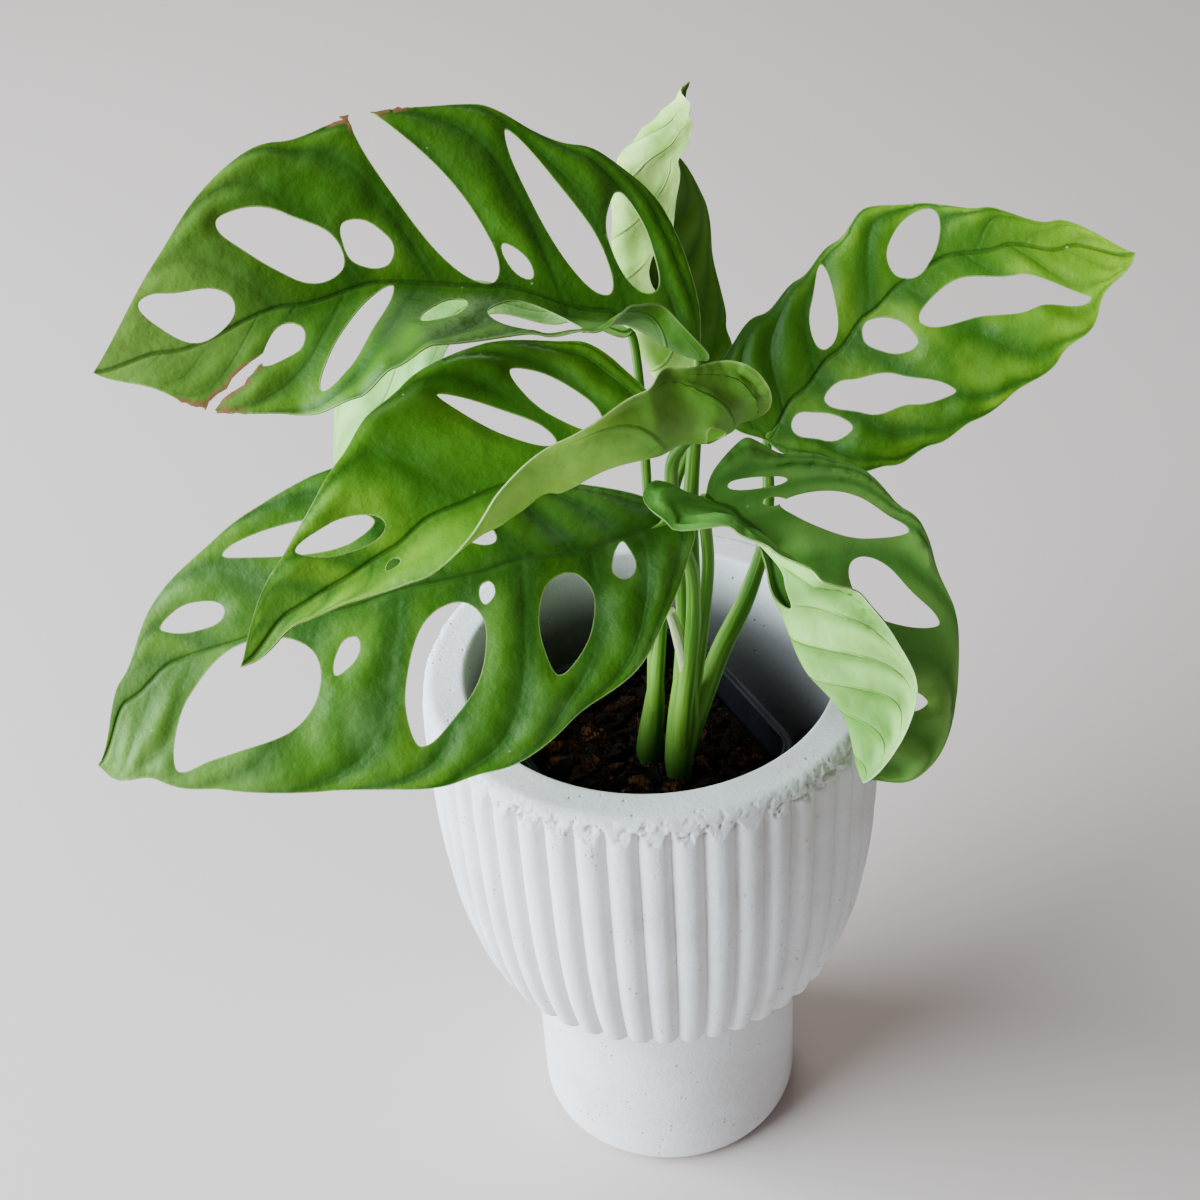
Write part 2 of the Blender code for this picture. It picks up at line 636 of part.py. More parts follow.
# Each clump has a short stem and the stalks that rise from it, as x, y, z and radius in
# millimetres. A stalk with a leaf's name ends under the base of that leaf's rib.
CLUMPS = [
    {
        "name": "stalks_front",
        "stem": [(7.0, -19.5, SOIL_TOP - STEM_DEPTH, 5.3), (7.0, -19.5, 163, 5.4),
                 (7.1, -19.4, 170, 5.4), (9.0, -17.0, 185, 4.4), (10.0, -15.5, 193, 3.2)],
        "stalks": [
            ("leaf_centre", [(8, -18, 177, 3.0), (9, -15.5, 197, 2.8), (10.5, -14, 222, 2.3),
                             (10, -14, 247, 2.1), (8.5, -15, 267, 2.0), (9, -18, 283, 1.9)]),
            ("leaf_upper_left", [(9, -17, 177, 3.0), (11.5, -13.5, 202, 2.9), (13.5, -9, 229, 2.6),
                                 (14, -5, 255, 2.4), (16, -1.5, 277, 2.0), (17.5, 1, 291, 1.8)]),
            ("leaf_drooping", [(9, -17, 179, 2.6), (13, -13, 197, 2.4), (16, -12, 217, 2.1),
                               (18.3, -12, 240, 1.9), (17.5, -16.5, 259, 1.8)]),
            ("leaf_right", [(9, -18, 173, 3.2), (14, -13, 185, 3.3), (22, -3.5, 200.5, 3.2),
                            (31, 6, 213, 2.8), (37.5, 14, 228, 2.1), (39.5, 20, 243, 1.9)]),
            ("leaf_lower_left", [(7.5, -20, 173, 3.2), (9, -20.5, 192, 2.8), (11.5, -21.5, 214, 2.5),
                                 (13, -24, 235, 2.2), (12, -27, 254, 1.9)]),
            (None, [(10.5, -20.5, 203, 1.8), (9.6, -21.0, 213, 1.9), (8.0, -21.5, 224, 1.8),
                    (6.2, -22.3, 233, 1.5)]),
        ],
    },
    {
        "name": "stalks_left",
        "stem": [(-1.5, -10.0, SOIL_TOP - STEM_DEPTH, 4.1), (-1.5, -10.0, 163, 4.2),
                 (-1.4, -9.9, 170, 4.2), (0.5, -8.5, 183, 3.6), (1.5, -7.5, 191, 2.8)],
        "stalks": [
            ("leaf_back", [(-0.5, -9, 173, 2.2), (1, -6.5, 197, 2.0), (2, -2.5, 223, 1.7), (2.2, 4, 247, 1.5),
                           (2.2, 13, 267, 1.5), (2, 25, 283, 1.4)]),
            ("leaf_young", [(-0.5, -10, 173, 2.6), (2, -8, 197, 2.3), (4.5, -2, 217, 1.9),
                            (6.5, 12, 231, 1.7), (11.5, 29, 240, 1.6), (17, 41, 249, 1.5)]),
        ],
    },
]


def tube(name, stations_list, mat):
    """A round tapered tube through points that each carry a radius."""
    path = spline([(x, y, z) for x, y, z, _ in stations_list], 8)
    radii = spline([(r, 0, 0) for *_, r in stations_list], 8)
    length = sum((b - a).length for a, b in zip(path, path[1:]))
    count = max(3, round(length / STALK_STEP))
    picks = [round(k * (len(path) - 1) / count) for k in range(count + 1)]
    across = Vector((1, 0, 0))
    verts = []
    for k in picks:
        ahead = (path[min(k + 1, len(path) - 1)] - path[max(k - 1, 0)]).normalized()
        across = (across - ahead * across.dot(ahead)).normalized()
        other = ahead.cross(across)
        for j in range(STALK_SIDES):
            a = 2 * math.pi * j / STALK_SIDES
            verts.append(path[k] + (across * math.cos(a) + other * math.sin(a)) * radii[k].x)
    faces = []
    for row in range(len(picks) - 1):
        for j in range(STALK_SIDES):
            a, b = row * STALK_SIDES + j, row * STALK_SIDES + (j + 1) % STALK_SIDES
            faces.append((a, b, b + STALK_SIDES, a + STALK_SIDES))
    faces.append(tuple(reversed(range(STALK_SIDES))))
    faces.append(tuple(range(len(verts) - STALK_SIDES, len(verts))))
    return add_object(name, verts, faces, mat)


def stalk_end(leaf, last):
    """Where a stalk stops, just under the blade at the base of its rib."""
    rib = leaf.point(1.0, 0.0)
    straight_on = (rib - Vector(last[:3])).normalized().dot(leaf.face)
    lean = math.sqrt(1.0 - straight_on ** 2)
    end = rib - leaf.face * (BLADE_THICKNESS / 2 + GAP + STALK_TIP * lean)
    return (*end, STALK_TIP)


def make_clump(clump):
    """The stem and its stalks grow as one body, so they are joined by one union."""
    mat = material(clump["name"] + "_green", (0.22, 0.40, 0.08), 0.45)
    leaves = {leaf.name: leaf for leaf in LEAVES}
    body = tube(clump["name"], clump["stem"], mat)
    branches = bpy.data.collections.new("branches")
    bpy.context.scene.collection.children.link(branches)
    for leaf_name, points in clump["stalks"]:
        ends = [stalk_end(leaves[leaf_name], points[-1])] if leaf_name else []
        branch = tube("branch", points + ends, mat)
        bpy.context.scene.collection.objects.unlink(branch)
        branches.objects.link(branch)
    join = body.modifiers.new("branches", "BOOLEAN")
    join.operation = "UNION"
    join.operand_type = "COLLECTION"
    join.collection = branches
    apply_modifiers(body)
    for branch in list(branches.objects):
        bpy.data.objects.remove(branch, do_unlink=True)
    bpy.data.collections.remove(branches)
    return body


def main():
    clear_scene()
    make_planter()
    make_nursery_pot()
    make_soil()
    for leaf in LEAVES:
        make_leaf(leaf)
    for clump in CLUMPS:
        make_clump(clump)


main()
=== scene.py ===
import math
import random

import bmesh
import bpy
import numpy as np
from mathutils import Matrix, Vector, noise
from mathutils.geometry import delaunay_2d_cdt


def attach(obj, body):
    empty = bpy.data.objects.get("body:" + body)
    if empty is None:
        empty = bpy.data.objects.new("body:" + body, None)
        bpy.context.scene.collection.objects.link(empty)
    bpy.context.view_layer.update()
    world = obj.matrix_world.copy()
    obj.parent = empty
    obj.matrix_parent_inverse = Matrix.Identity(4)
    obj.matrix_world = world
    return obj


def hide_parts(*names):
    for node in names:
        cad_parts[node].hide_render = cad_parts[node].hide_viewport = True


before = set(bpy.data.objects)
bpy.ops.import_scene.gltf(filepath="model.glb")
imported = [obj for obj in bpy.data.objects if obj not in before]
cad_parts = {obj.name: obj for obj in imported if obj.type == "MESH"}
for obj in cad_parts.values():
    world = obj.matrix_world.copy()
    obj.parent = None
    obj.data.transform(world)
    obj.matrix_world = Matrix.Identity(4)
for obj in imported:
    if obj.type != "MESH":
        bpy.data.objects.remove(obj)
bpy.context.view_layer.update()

MM = 0.001

# Camera: a 60 mm lens on a square 36 mm frame, about 0.6 m away and looking down on the plant
# from in front, with a slight roll.
LENS = 60.0
SENSOR = 36.0
CAMERA_TARGET = Vector((-0.0140, 0.0, 0.2211))
CAMERA_DISTANCE = 0.607
CAMERA_ELEVATION = math.radians(38.4)
CAMERA_ROLL = math.radians(-4.01)

camera_data = bpy.data.cameras.new("camera")
camera_data.lens = LENS
camera_data.sensor_width = SENSOR
camera = bpy.data.objects.new("camera", camera_data)
bpy.context.scene.collection.objects.link(camera)
camera_back = Vector((0.0, -math.cos(CAMERA_ELEVATION), math.sin(CAMERA_ELEVATION)))
camera_right = Vector((1.0, 0.0, 0.0))
camera_axes = Matrix((camera_right, camera_back.cross(camera_right), camera_back)).transposed()
camera_axes = camera_axes @ Matrix.Rotation(CAMERA_ROLL, 3, "Z")
camera_place = CAMERA_TARGET + camera_back * CAMERA_DISTANCE
camera.matrix_world = Matrix.Translation(camera_place) @ camera_axes.to_4x4()
bpy.context.scene.camera = camera


# Floor and light: a plain pale floor, one broad cool light from the left like a window's, a weak
# warm one from the right, a soft one from behind, and an even pale surround.
FLOOR_HALF = 3.0
FLOOR_HEIGHT = -0.0005
FLOOR_COLOUR = (0.65, 0.555, 0.52)
KEY_LIGHT = {"place": (-1.4, -0.25, 0.8), "size": 1.7, "power": 142.0, "colour": (0.79, 0.915, 1.0)}
FILL_LIGHT = {"place": (1.2, -1.0, 0.9), "size": 1.2, "power": 0.8, "colour": (1.0, 0.86, 0.74)}
BACK_LIGHT = {"place": (-0.2, 1.3, 1.1), "size": 1.0, "power": 8.0, "colour": (1.0, 0.99, 0.95)}
SURROUND = (0.92, 0.91, 0.90)
SURROUND_STRENGTH = 0.16


def wire(tree, node, wires):
    """Give a node's inputs, by name or number, a number, a colour or another node's output."""
    for key, value in wires.items():
        socket = node.inputs[key]
        if isinstance(value, bpy.types.NodeSocket):
            tree.links.new(value, socket)
        else:
            socket.default_value = (*value, 1.0) if socket.type == "RGBA" else value


def new_material(name, constants):
    """A material with one Principled shader, whose constant sockets are set here by name."""
    mat = bpy.data.materials.new(name)
    mat.use_nodes = True
    shader = mat.node_tree.nodes["Principled BSDF"]
    wire(mat.node_tree, shader, constants)
    return mat, shader


def add_object(name, mesh, *mats):
    for mat in mats:
        mesh.materials.append(mat)
    obj = bpy.data.objects.new(name, mesh)
    bpy.context.scene.collection.objects.link(obj)
    return obj


def add_light(name, place, size, power, colour):
    data = bpy.data.lights.new(name, "AREA")
    data.size = size
    data.energy = power
    data.color = colour
    lamp = bpy.data.objects.new(name, data)
    lamp.location = place
    lamp.rotation_euler = (CAMERA_TARGET - Vector(place)).to_track_quat("-Z", "Y").to_euler()
    bpy.context.scene.collection.objects.link(lamp)


floor_mesh = bpy.data.meshes.new("floor")
floor_corners = ((-1, -1), (1, -1), (1, 1), (-1, 1))
floor_mesh.from_pydata([(x * FLOOR_HALF, y * FLOOR_HALF, FLOOR_HEIGHT) for x, y in floor_corners],
                       [], [(0, 1, 2, 3)])
floor_material, _ = new_material("pale_floor", {"Base Color": FLOOR_COLOUR, "Roughness": 0.9})
floor = add_object("floor", floor_mesh, floor_material)
add_light("key", **KEY_LIGHT)
add_light("fill", **FILL_LIGHT)
add_light("back", **BACK_LIGHT)
surround = bpy.data.worlds.new("surround")
surround.use_nodes = True
wire(surround.node_tree, surround.node_tree.nodes["Background"],
     {"Color": SURROUND, "Strength": SURROUND_STRENGTH})
bpy.context.scene.world = surround


# Planter: one thick cast piece of matt white mineral mix. Its reeds run from just under the rim
# to the ledge, and the rim's edge is chipped and pitted as it came out of the mould.
RIM_RADIUS = 71.0
RIM_TOP = 195.0
RIM_ROUND = 3.6
RIM_WALL = 13.2
RIM_INNER_ROUND = 1.5
REED_COUNT = 46
REED_TURN = 1.2
REED_DEPTH = 2.5
REED_TOP = 191.5
REED_END = 7.0
BODY_RADIUS = 72.2
LEDGE_RADIUS = 61.7
LEDGE_HEIGHT = 86.0
LEDGE_ROUND = 1.0
FOOT_RADIUS = 45.3
FOOT_ROUND = 6.0
SHOULDER_HEIGHT = 85.0
SHOULDER_RADIUS = 53.0
WELL_RADIUS = 34.0
WELL_FLOOR = 12.0
POINTS_A_REED = 16
FOOT_RINGS = 15
BODY_RINGS = 25
REED_END_RINGS = 12
RIM_RINGS = 7
INNER_RINGS = 15
VALLEY_POWER = 2.4
CHIP_DEPTH = 1.15
CHIP_BAND_DROP = 1.2
CHIP_BAND = 3.6
CAST_WHITE = (0.83, 0.84, 0.87)
CAST_GREY = (0.66, 0.65, 0.63)
CAST_PIT_GREY = (0.47, 0.44, 0.42)
CLOUD_ROUGHNESS = 0.55


def put(tree, kind, wires=None, **settings):
    """Add a shader node with its settings, and wire its inputs."""
    node = tree.nodes.new("ShaderNode" + kind)
    for key, value in settings.items():
        setattr(node, key, value)
    wire(tree, node, wires or {})
    return node


class Skin:
    """A shader group under way: masks and tones over a surface, in the object's own coordinates.

    inputs maps the name of each input to its default, a number or a colour.
    """

    def __init__(self, name, inputs):
        self.tree = bpy.data.node_groups.new(name, "ShaderNodeTree")
        for label, value in inputs.items():
            if isinstance(value, tuple):
                kind, value = "NodeSocketColor", (*value, 1.0)
            else:
                kind = "NodeSocketFloat"
            self.tree.interface.new_socket(label, in_out="INPUT", socket_type=kind).default_value = value
        for label, kind in (("Colour", "Color"), ("Roughness", "Float"), ("Height", "Float")):
            self.tree.interface.new_socket(label, in_out="OUTPUT", socket_type="NodeSocket" + kind)
        self.given = self.tree.nodes.new("NodeGroupInput").outputs
        self.place = put(self.tree, "TexCoord").outputs["Object"]

    def finish(self, colour, roughness, height):
        out = self.tree.nodes.new("NodeGroupOutput")
        wire(self.tree, out, {"Colour": colour, "Roughness": roughness, "Height": height})
        return self.tree

    def value(self, name, output="Fac"):
        """A number or vector stored on the mesh."""
        return put(self.tree, "Attribute", attribute_name=name).outputs[output]

    def calc(self, operation, first, second=0.0):
        return put(self.tree, "Math", {0: first, 1: second}, operation=operation).outputs[0]

    def times(self, first, *others):
        for other in others:
            first = self.calc("MULTIPLY", first, other)
        return first

    def tint(self, tone, colour, *masks):
        """Lay a colour over a tone as far as the masks and shares, multiplied together, say."""
        wires = {0: self.times(*masks), 6: tone, 7: colour}
        return put(self.tree, "Mix", wires, data_type="RGBA").outputs[2]

    def fade(self, value, low, high, at_low=0.0, at_high=1.0):
        """A soft step: at_low where the value is low or less, at_high where it is high or more."""
        wires = {"Value": value, "From Min": low, "From Max": high, "To Min": at_low, "To Max": at_high}
        return put(self.tree, "MapRange", wires, interpolation_type="SMOOTHSTEP").outputs[0]

    def drop(self, value, low, high, at_high=0.0):
        return self.fade(value, low, high, 1.0, at_high)

    def cloud(self, scale, detail=3.0, place=None):
        """Soft noise over the surface; scale is in waves a metre."""
        place = self.place if place is None else place
        wires = {"Vector": place, "Scale": scale, "Detail": detail, "Roughness": CLOUD_ROUGHNESS}
        return put(self.tree, "TexNoise", wires).outputs[0]

    def cells(self, scale):
        """Distance from scattered points, for pits and specks."""
        return put(self.tree, "TexVoronoi", {"Vector": self.place, "Scale": scale}).outputs["Distance"]


def surface_material(name, group, looks=None, specular=0.35, bump=0.0006, strength=0.7):
    """A material whose colour, roughness and relief come from a group; looks sets the group's inputs."""
    mat, shader = new_material(name, {"Specular IOR Level": specular})
    tree = mat.node_tree
    skin = put(tree, "Group", looks, node_tree=group).outputs
    relief = put(tree, "Bump", {"Height": skin["Height"], "Distance": bump, "Strength": strength})
    wire(tree, shader, {"Base Color": skin["Colour"], "Roughness": skin["Roughness"],
                        "Normal": relief.outputs["Normal"]})
    return mat


def make_cast_group():
    """Cast mineral surface: soft grey clouds, fine grain, pits and chips tinted darker grey, and painted
    shade low on the inside.
    """
    skin = Skin("cast_surface", {"White": CAST_WHITE, "Grey": CAST_GREY, "Pit grey": CAST_PIT_GREY, "Pits": 0.7})
    given = skin.given
    wide = skin.cloud(28.0)
    fine = skin.cloud(420.0, 4.0)
    grain = skin.cloud(1500.0, 2.0)
    tone = skin.tint(given["White"], given["Grey"], skin.fade(wide, 0.42, 0.66, 0.0, 0.55))
    sparse = skin.fade(skin.cloud(95.0, 1.0), 0.56, 0.64)
    pit = skin.times(skin.drop(skin.cells(330.0), 0.10, 0.26), sparse, given["Pits"])
    # Pits and chips are tinted a darker grey.
    pits_and_chips = skin.calc("MAXIMUM", pit, skin.times(skin.value("chip"), skin.fade(fine, 0.35, 0.7)))
    tone = skin.tint(tone, given["Pit grey"], pits_and_chips, 0.65)
    tone = skin.tint(tone, given["Grey"], skin.fade(skin.cloud(900.0, 1.0), 0.35, 0.65, 0.0, 0.22))
    # Painted shade on the inner wall: darker towards the bottom, down to the mix.
    height = put(skin.tree, "SeparateXYZ", {0: skin.place}).outputs["Z"]
    low = skin.drop(skin.calc("ADD", height, skin.times(wide, 0.006)), 0.170, 0.198)
    tone = skin.tint(tone, (0.045, 0.040, 0.038), low, skin.value("inside"), 0.9)
    relief = skin.calc("ADD", skin.times(fine, 0.35), skin.times(grain, 0.25))
    relief = skin.calc("SUBTRACT", relief, skin.times(pits_and_chips, 0.9))
    return skin.finish(tone, skin.fade(fine, 0.3, 0.7, 0.78, 0.92), relief)


def body_radius(z):
    """Crest radius of the reeded body: nearly straight, then drawn in to the ledge."""
    t = (REED_TOP - z) / (REED_TOP - LEDGE_HEIGHT)
    drawn = BODY_RADIUS - (BODY_RADIUS - LEDGE_RADIUS) * (0.04 * t + 0.96 * t ** 4)
    return drawn - (BODY_RADIUS - RIM_RADIUS) * math.exp(-((REED_TOP - z) / 5.0) ** 2)


def arc(centre_r, centre_z, radius, first, last, count):
    """Profile points on an arc; angles in degrees from straight out, upwards."""
    points = []
    for k in range(count + 1):
        a = math.radians(first + (last - first) * k / count)
        points.append((centre_r + radius * math.cos(a), centre_z + radius * math.sin(a), 0.0))
    return points


def planter_profile():
    """Radius, height and reed share of each ring, from the foot's underside round to the inner floor."""
    foot = FOOT_RADIUS - FOOT_ROUND
    rings = [(foot * s, 0.0, 0.0) for s in (0.02, 0.5, 0.9)] + arc(foot, FOOT_ROUND, FOOT_ROUND, -90, 0, 8)
    for k in range(1, FOOT_RINGS):
        rings.append((FOOT_RADIUS, FOOT_ROUND + (LEDGE_HEIGHT - 3.0 - FOOT_ROUND) * k / FOOT_RINGS, 0.0))
    rings += [(FOOT_RADIUS + 0.3, LEDGE_HEIGHT - 1.6, 0.0), (FOOT_RADIUS + 1.2, LEDGE_HEIGHT - 0.4, 0.0)]
    edge = LEDGE_RADIUS - LEDGE_ROUND
    rings += [(FOOT_RADIUS + 3.0, LEDGE_HEIGHT, 0.0), (edge - 4.0, LEDGE_HEIGHT, 0.3),
              (edge - 1.5, LEDGE_HEIGHT, 0.7)]
    for angle in (-80, -50, -20):
        a = math.radians(angle)
        rings.append((edge + LEDGE_ROUND * math.cos(a), LEDGE_HEIGHT + LEDGE_ROUND * (1 + math.sin(a)), 1.0))
    low = LEDGE_HEIGHT + 1.6
    high = REED_TOP - REED_END
    for k in range(BODY_RINGS):
        z = low + (high - low) * k / BODY_RINGS
        rings.append((body_radius(z), z, 1.0))
    for k in range(REED_END_RINGS + 1):
        z = high + REED_END * k / REED_END_RINGS
        rings.append((body_radius(z), z, 1.0 - (k / REED_END_RINGS) ** 2))
    rings += arc(RIM_RADIUS - RIM_ROUND, RIM_TOP - RIM_ROUND, RIM_ROUND, 12, 90, 8)
    inner = RIM_RADIUS - RIM_WALL
    flat = RIM_WALL - RIM_ROUND - RIM_INNER_ROUND
    for k in range(1, RIM_RINGS):
        rings.append((RIM_RADIUS - RIM_ROUND - flat * k / RIM_RINGS, RIM_TOP, 0.0))
    edge_top = RIM_TOP - RIM_INNER_ROUND
    rings += arc(inner + RIM_INNER_ROUND, edge_top, RIM_INNER_ROUND, 90, 180, 5)
    for k in range(1, INNER_RINGS + 1):
        z = edge_top - (edge_top - SHOULDER_HEIGHT - 4.0) * k / INNER_RINGS
        t = 1 - (z - SHOULDER_HEIGHT) / (RIM_TOP - SHOULDER_HEIGHT)
        rings.append((inner - (inner - SHOULDER_RADIUS) * t ** 3, z, 0.0))
    rings += [(SHOULDER_RADIUS - 3.0, SHOULDER_HEIGHT, 0.0), (WELL_RADIUS, SHOULDER_HEIGHT, 0.0),
              (WELL_RADIUS - 1.0, WELL_FLOOR + 3.0, 0.0), (WELL_RADIUS - 4.0, WELL_FLOOR, 0.0),
              (1.0, WELL_FLOOR, 0.0)]
    return rings


def waver(x, y, z):
    """Smooth noise at a place, about -1 to 1."""
    return noise.noise(Vector((x, y, z)))


def chip_at(x, y, z):
    """How far the surface is broken away, 0 to 1, in an uneven band along the rim's outer edge."""
    band = math.exp(-((z - REED_TOP + CHIP_BAND_DROP) / CHIP_BAND) ** 2)
    broad = waver(x * 0.055, y * 0.055, 3.7)
    small = waver(x * 0.40, y * 0.40, z * 0.40)
    crumb = waver(x * 1.1, y * 1.1, z * 1.1)
    chip = band * (1.7 * small + 1.3 * crumb + 1.2 * broad + 0.1)
    dent = 0.35 * max(0.0, waver(x * 0.25, y * 0.25, z * 0.25 + 9.0) - 0.25)
    return max(0.0, min(1.0, max(chip, dent)))


def ring_faces(rings, count, start=0):
    """Quads between closed rings of points, numbered one ring after the other, and a cap at each end."""
    faces = []
    for low in range(start, start + (rings - 1) * count, count):
        for k in range(count):
            n = (k + 1) % count
            faces.append((low + k, low + n, low + count + n, low + count + k))
    last = start + (rings - 1) * count
    faces.append(tuple(start + k for k in reversed(range(count))))
    faces.append(tuple(range(last, last + count)))
    return faces


def build_mesh(name, verts, faces, sharp=None, domain="POINT", **values):
    """A mesh from points in millimetres, with named numbers on its points or face corners.

    It is smooth, apart from edges that turn by more than sharp degrees, or flat without sharp.
    """
    mesh = bpy.data.meshes.new(name)
    mesh.from_pydata((np.array(verts, float) * MM).tolist(), [], faces)
    for key, numbers in values.items():
        numbers = np.array(numbers, np.float32).ravel()
        mesh.attributes.new(key, "FLOAT", domain).data.foreach_set("value", numbers)
    if sharp is not None:
        mesh.shade_smooth()
        mesh.set_sharp_from_angle(angle=math.radians(sharp))
    return mesh


def make_planter_mesh():
    rings = planter_profile()
    count = REED_COUNT * POINTS_A_REED
    verts = []
    chips = []
    insides = []
    top = max(range(len(rings)), key=lambda k: rings[k][1])
    for ring, (radius, z, share) in enumerate(rings):
        outer = z > LEDGE_HEIGHT and radius > RIM_RADIUS - 9.0
        for k in range(count):
            a = 2 * math.pi * k / count + math.radians(REED_TURN)
            valley = abs(2 * (k % POINTS_A_REED) / POINTS_A_REED - 1) ** VALLEY_POWER
            dip = REED_DEPTH * max(0.0, valley - (1.0 - share))
            x, y = math.sin(a), -math.cos(a)
            chip = chip_at(radius * x, radius * y, z) if outer else 0.0
            r = radius - dip - CHIP_DEPTH * chip
            verts.append((r * x, r * y, z))
            chips.append(chip)
            # The inner wall is marked so that painted shade can be laid low on it.
            insides.append(1.0 if ring > top + 6 else 0.0)
    return build_mesh("planter", verts, ring_faces(len(rings), count), sharp=55, chip=chips, inside=insides)


cast_material = surface_material("cast_mineral", make_cast_group(), strength=0.9)
planter = add_object("planter", make_planter_mesh(), cast_material)
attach(planter, "root")
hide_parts("outer_pot")


# Nursery pot: a thin square pot of black plastic with rounded corners and a rolled lip. It stands
# on the planter's shoulder, turned a little, and only its lip shows.
NURSERY_SIDE = 78.0
NURSERY_FOOT_SIDE = 60.0
NURSERY_CORNER = 12.0
NURSERY_WALL = 1.0
NURSERY_LIP = 2.2
NURSERY_LIP_DROP = 5.0
NURSERY_TOP = 174.0
NURSERY_TURN = math.radians(25.0)
NURSERY_CENTRE = (-4.8, -5.4)
TOUCH_GAP = 0.3


def rounded_square(side, corner, z, per_corner=10):
    """Points of a rounded square, turned and placed as the nursery pot stands, in millimetres."""
    half = side / 2 - corner
    placed = []
    for quarter in range(4):
        cx = half * (1 if quarter in (0, 3) else -1)
        cy = half * (1 if quarter in (0, 1) else -1)
        for k in range(per_corner):
            a = math.radians(90 * quarter + 90 * k / (per_corner - 1))
            x, y = cx + corner * math.cos(a), cy + corner * math.sin(a)
            placed.append((x * math.cos(NURSERY_TURN) - y * math.sin(NURSERY_TURN) + NURSERY_CENTRE[0],
                           x * math.sin(NURSERY_TURN) + y * math.cos(NURSERY_TURN) + NURSERY_CENTRE[1], z))
    return placed


def nursery_side(z):
    t = (z - SHOULDER_HEIGHT) / (NURSERY_TOP - SHOULDER_HEIGHT)
    return NURSERY_FOOT_SIDE + (NURSERY_SIDE - 2 * NURSERY_LIP - NURSERY_FOOT_SIDE) * t


def make_nursery_mesh():
    foot = SHOULDER_HEIGHT + TOUCH_GAP
    drop = NURSERY_TOP - NURSERY_LIP_DROP
    loops = [rounded_square(NURSERY_FOOT_SIDE - 2.0, NURSERY_CORNER - 4, foot),
             rounded_square(NURSERY_FOOT_SIDE, NURSERY_CORNER - 3, foot + 1.2)]
    for k in range(1, 9):
        z = foot + (drop - foot) * k / 8
        loops.append(rounded_square(nursery_side(z), NURSERY_CORNER - 3 + 3 * k / 8, z))
    lip = ((NURSERY_SIDE - 0.8, drop), (NURSERY_SIDE, drop + 0.5), (NURSERY_SIDE, NURSERY_TOP - 0.8),
           (NURSERY_SIDE - 0.5, NURSERY_TOP - 0.2), (NURSERY_SIDE - 1.4, NURSERY_TOP),
           (NURSERY_SIDE - 2.6, NURSERY_TOP - 0.5), (NURSERY_SIDE - 3.6, NURSERY_TOP - 0.5),
           (NURSERY_SIDE - 4.8, NURSERY_TOP), (nursery_side(NURSERY_TOP) - 1.8, NURSERY_TOP - 0.4))
    loops += [rounded_square(side, NURSERY_CORNER + 1 - 0.5 * (NURSERY_SIDE - side), z) for side, z in lip]
    for k in range(1, 9):
        z = NURSERY_TOP - 1.0 - (NURSERY_TOP - 1.0 - foot - NURSERY_WALL) * k / 8
        loops.append(rounded_square(nursery_side(z) - 2 * NURSERY_WALL, NURSERY_CORNER - 1 - 3 * k / 8, z))
    return build_mesh("nursery_pot", sum(loops, []), ring_faces(len(loops), len(loops[0])), sharp=50)


def make_plastic_group():
    """Moulded black plastic: faint flow marks, fine scuffs and dust from the mix."""
    skin = Skin("moulded_plastic", {"Plastic": (0.0035, 0.0040, 0.0065), "Dust": (0.020, 0.015, 0.012)})
    smear = skin.cloud(60.0, 4.0)
    dust = skin.fade(skin.cloud(700.0, 3.0), 0.55, 0.72, 0.0, 0.7)
    tone = skin.tint(skin.given["Plastic"], skin.given["Dust"], dust, smear)
    relief = skin.calc("ADD", skin.times(smear, 0.6), skin.times(dust, 0.3))
    return skin.finish(tone, skin.fade(smear, 0.3, 0.7, 0.48, 0.66), relief)


plastic_material = surface_material("black_plastic", make_plastic_group(), specular=0.18, bump=0.0003,
                                    strength=0.5)
nursery_pot = add_object("nursery_pot_moulded", make_nursery_mesh(), plastic_material)
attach(nursery_pot, "root")
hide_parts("nursery_pot")


# Potting mix: damp bark chips, crumbs and coir fibres, nearly black with a few reddish pieces. It
# fills the nursery pot to a centimetre under its lip and holds the stems.
SOIL_TOP = 164.0
SOIL_LUMP = 1.4
STEM_PLACES = ((7.0, -19.5, 3.9), (-1.5, -10.0, 4.0))
BED_RINGS = 22
CHIP_COUNT = 340
CRUMB_COUNT = 900
FIBRE_COUNT = 110
FIBRE_RADIUS = 0.17
FIBRE_STEP = 1.3
CHIP_POINTS = 14
CHIP_SIZES = (3.5, 5.0, 6.5, 8.0, 10.5)
CHIP_SIDES = ((0.8, 1.3), (0.45, 0.8), (0.28, 0.55))
CRUMB_SIZES = (0.9, 2.2)
HEAP_COUNT = 45
HEAP_SIZES = (2.0, 4.2)
HEAP_HEIGHTS = (0.2, 2.2)
MIX_GAP = 0.5
MIX_SEED = 11


def in_nursery(x, y, side, corner):
    """True inside the rounded square of the nursery pot's inside."""
    dx, dy = x - NURSERY_CENTRE[0], y - NURSERY_CENTRE[1]
    u = abs(dx * math.cos(NURSERY_TURN) + dy * math.sin(NURSERY_TURN))
    v = abs(dy * math.cos(NURSERY_TURN) - dx * math.sin(NURSERY_TURN))
    half = side / 2
    if u > half or v > half:
        return False
    cu, cv = u - (half - corner), v - (half - corner)
    return cu < 0 or cv < 0 or math.hypot(cu, cv) < corner


def bed_height(x, y):
    lump = waver(x * 0.11, y * 0.11, 1.3) + 0.5 * waver(x * 0.4, y * 0.4, 5.1)
    return SOIL_TOP - 1.2 + SOIL_LUMP * lump


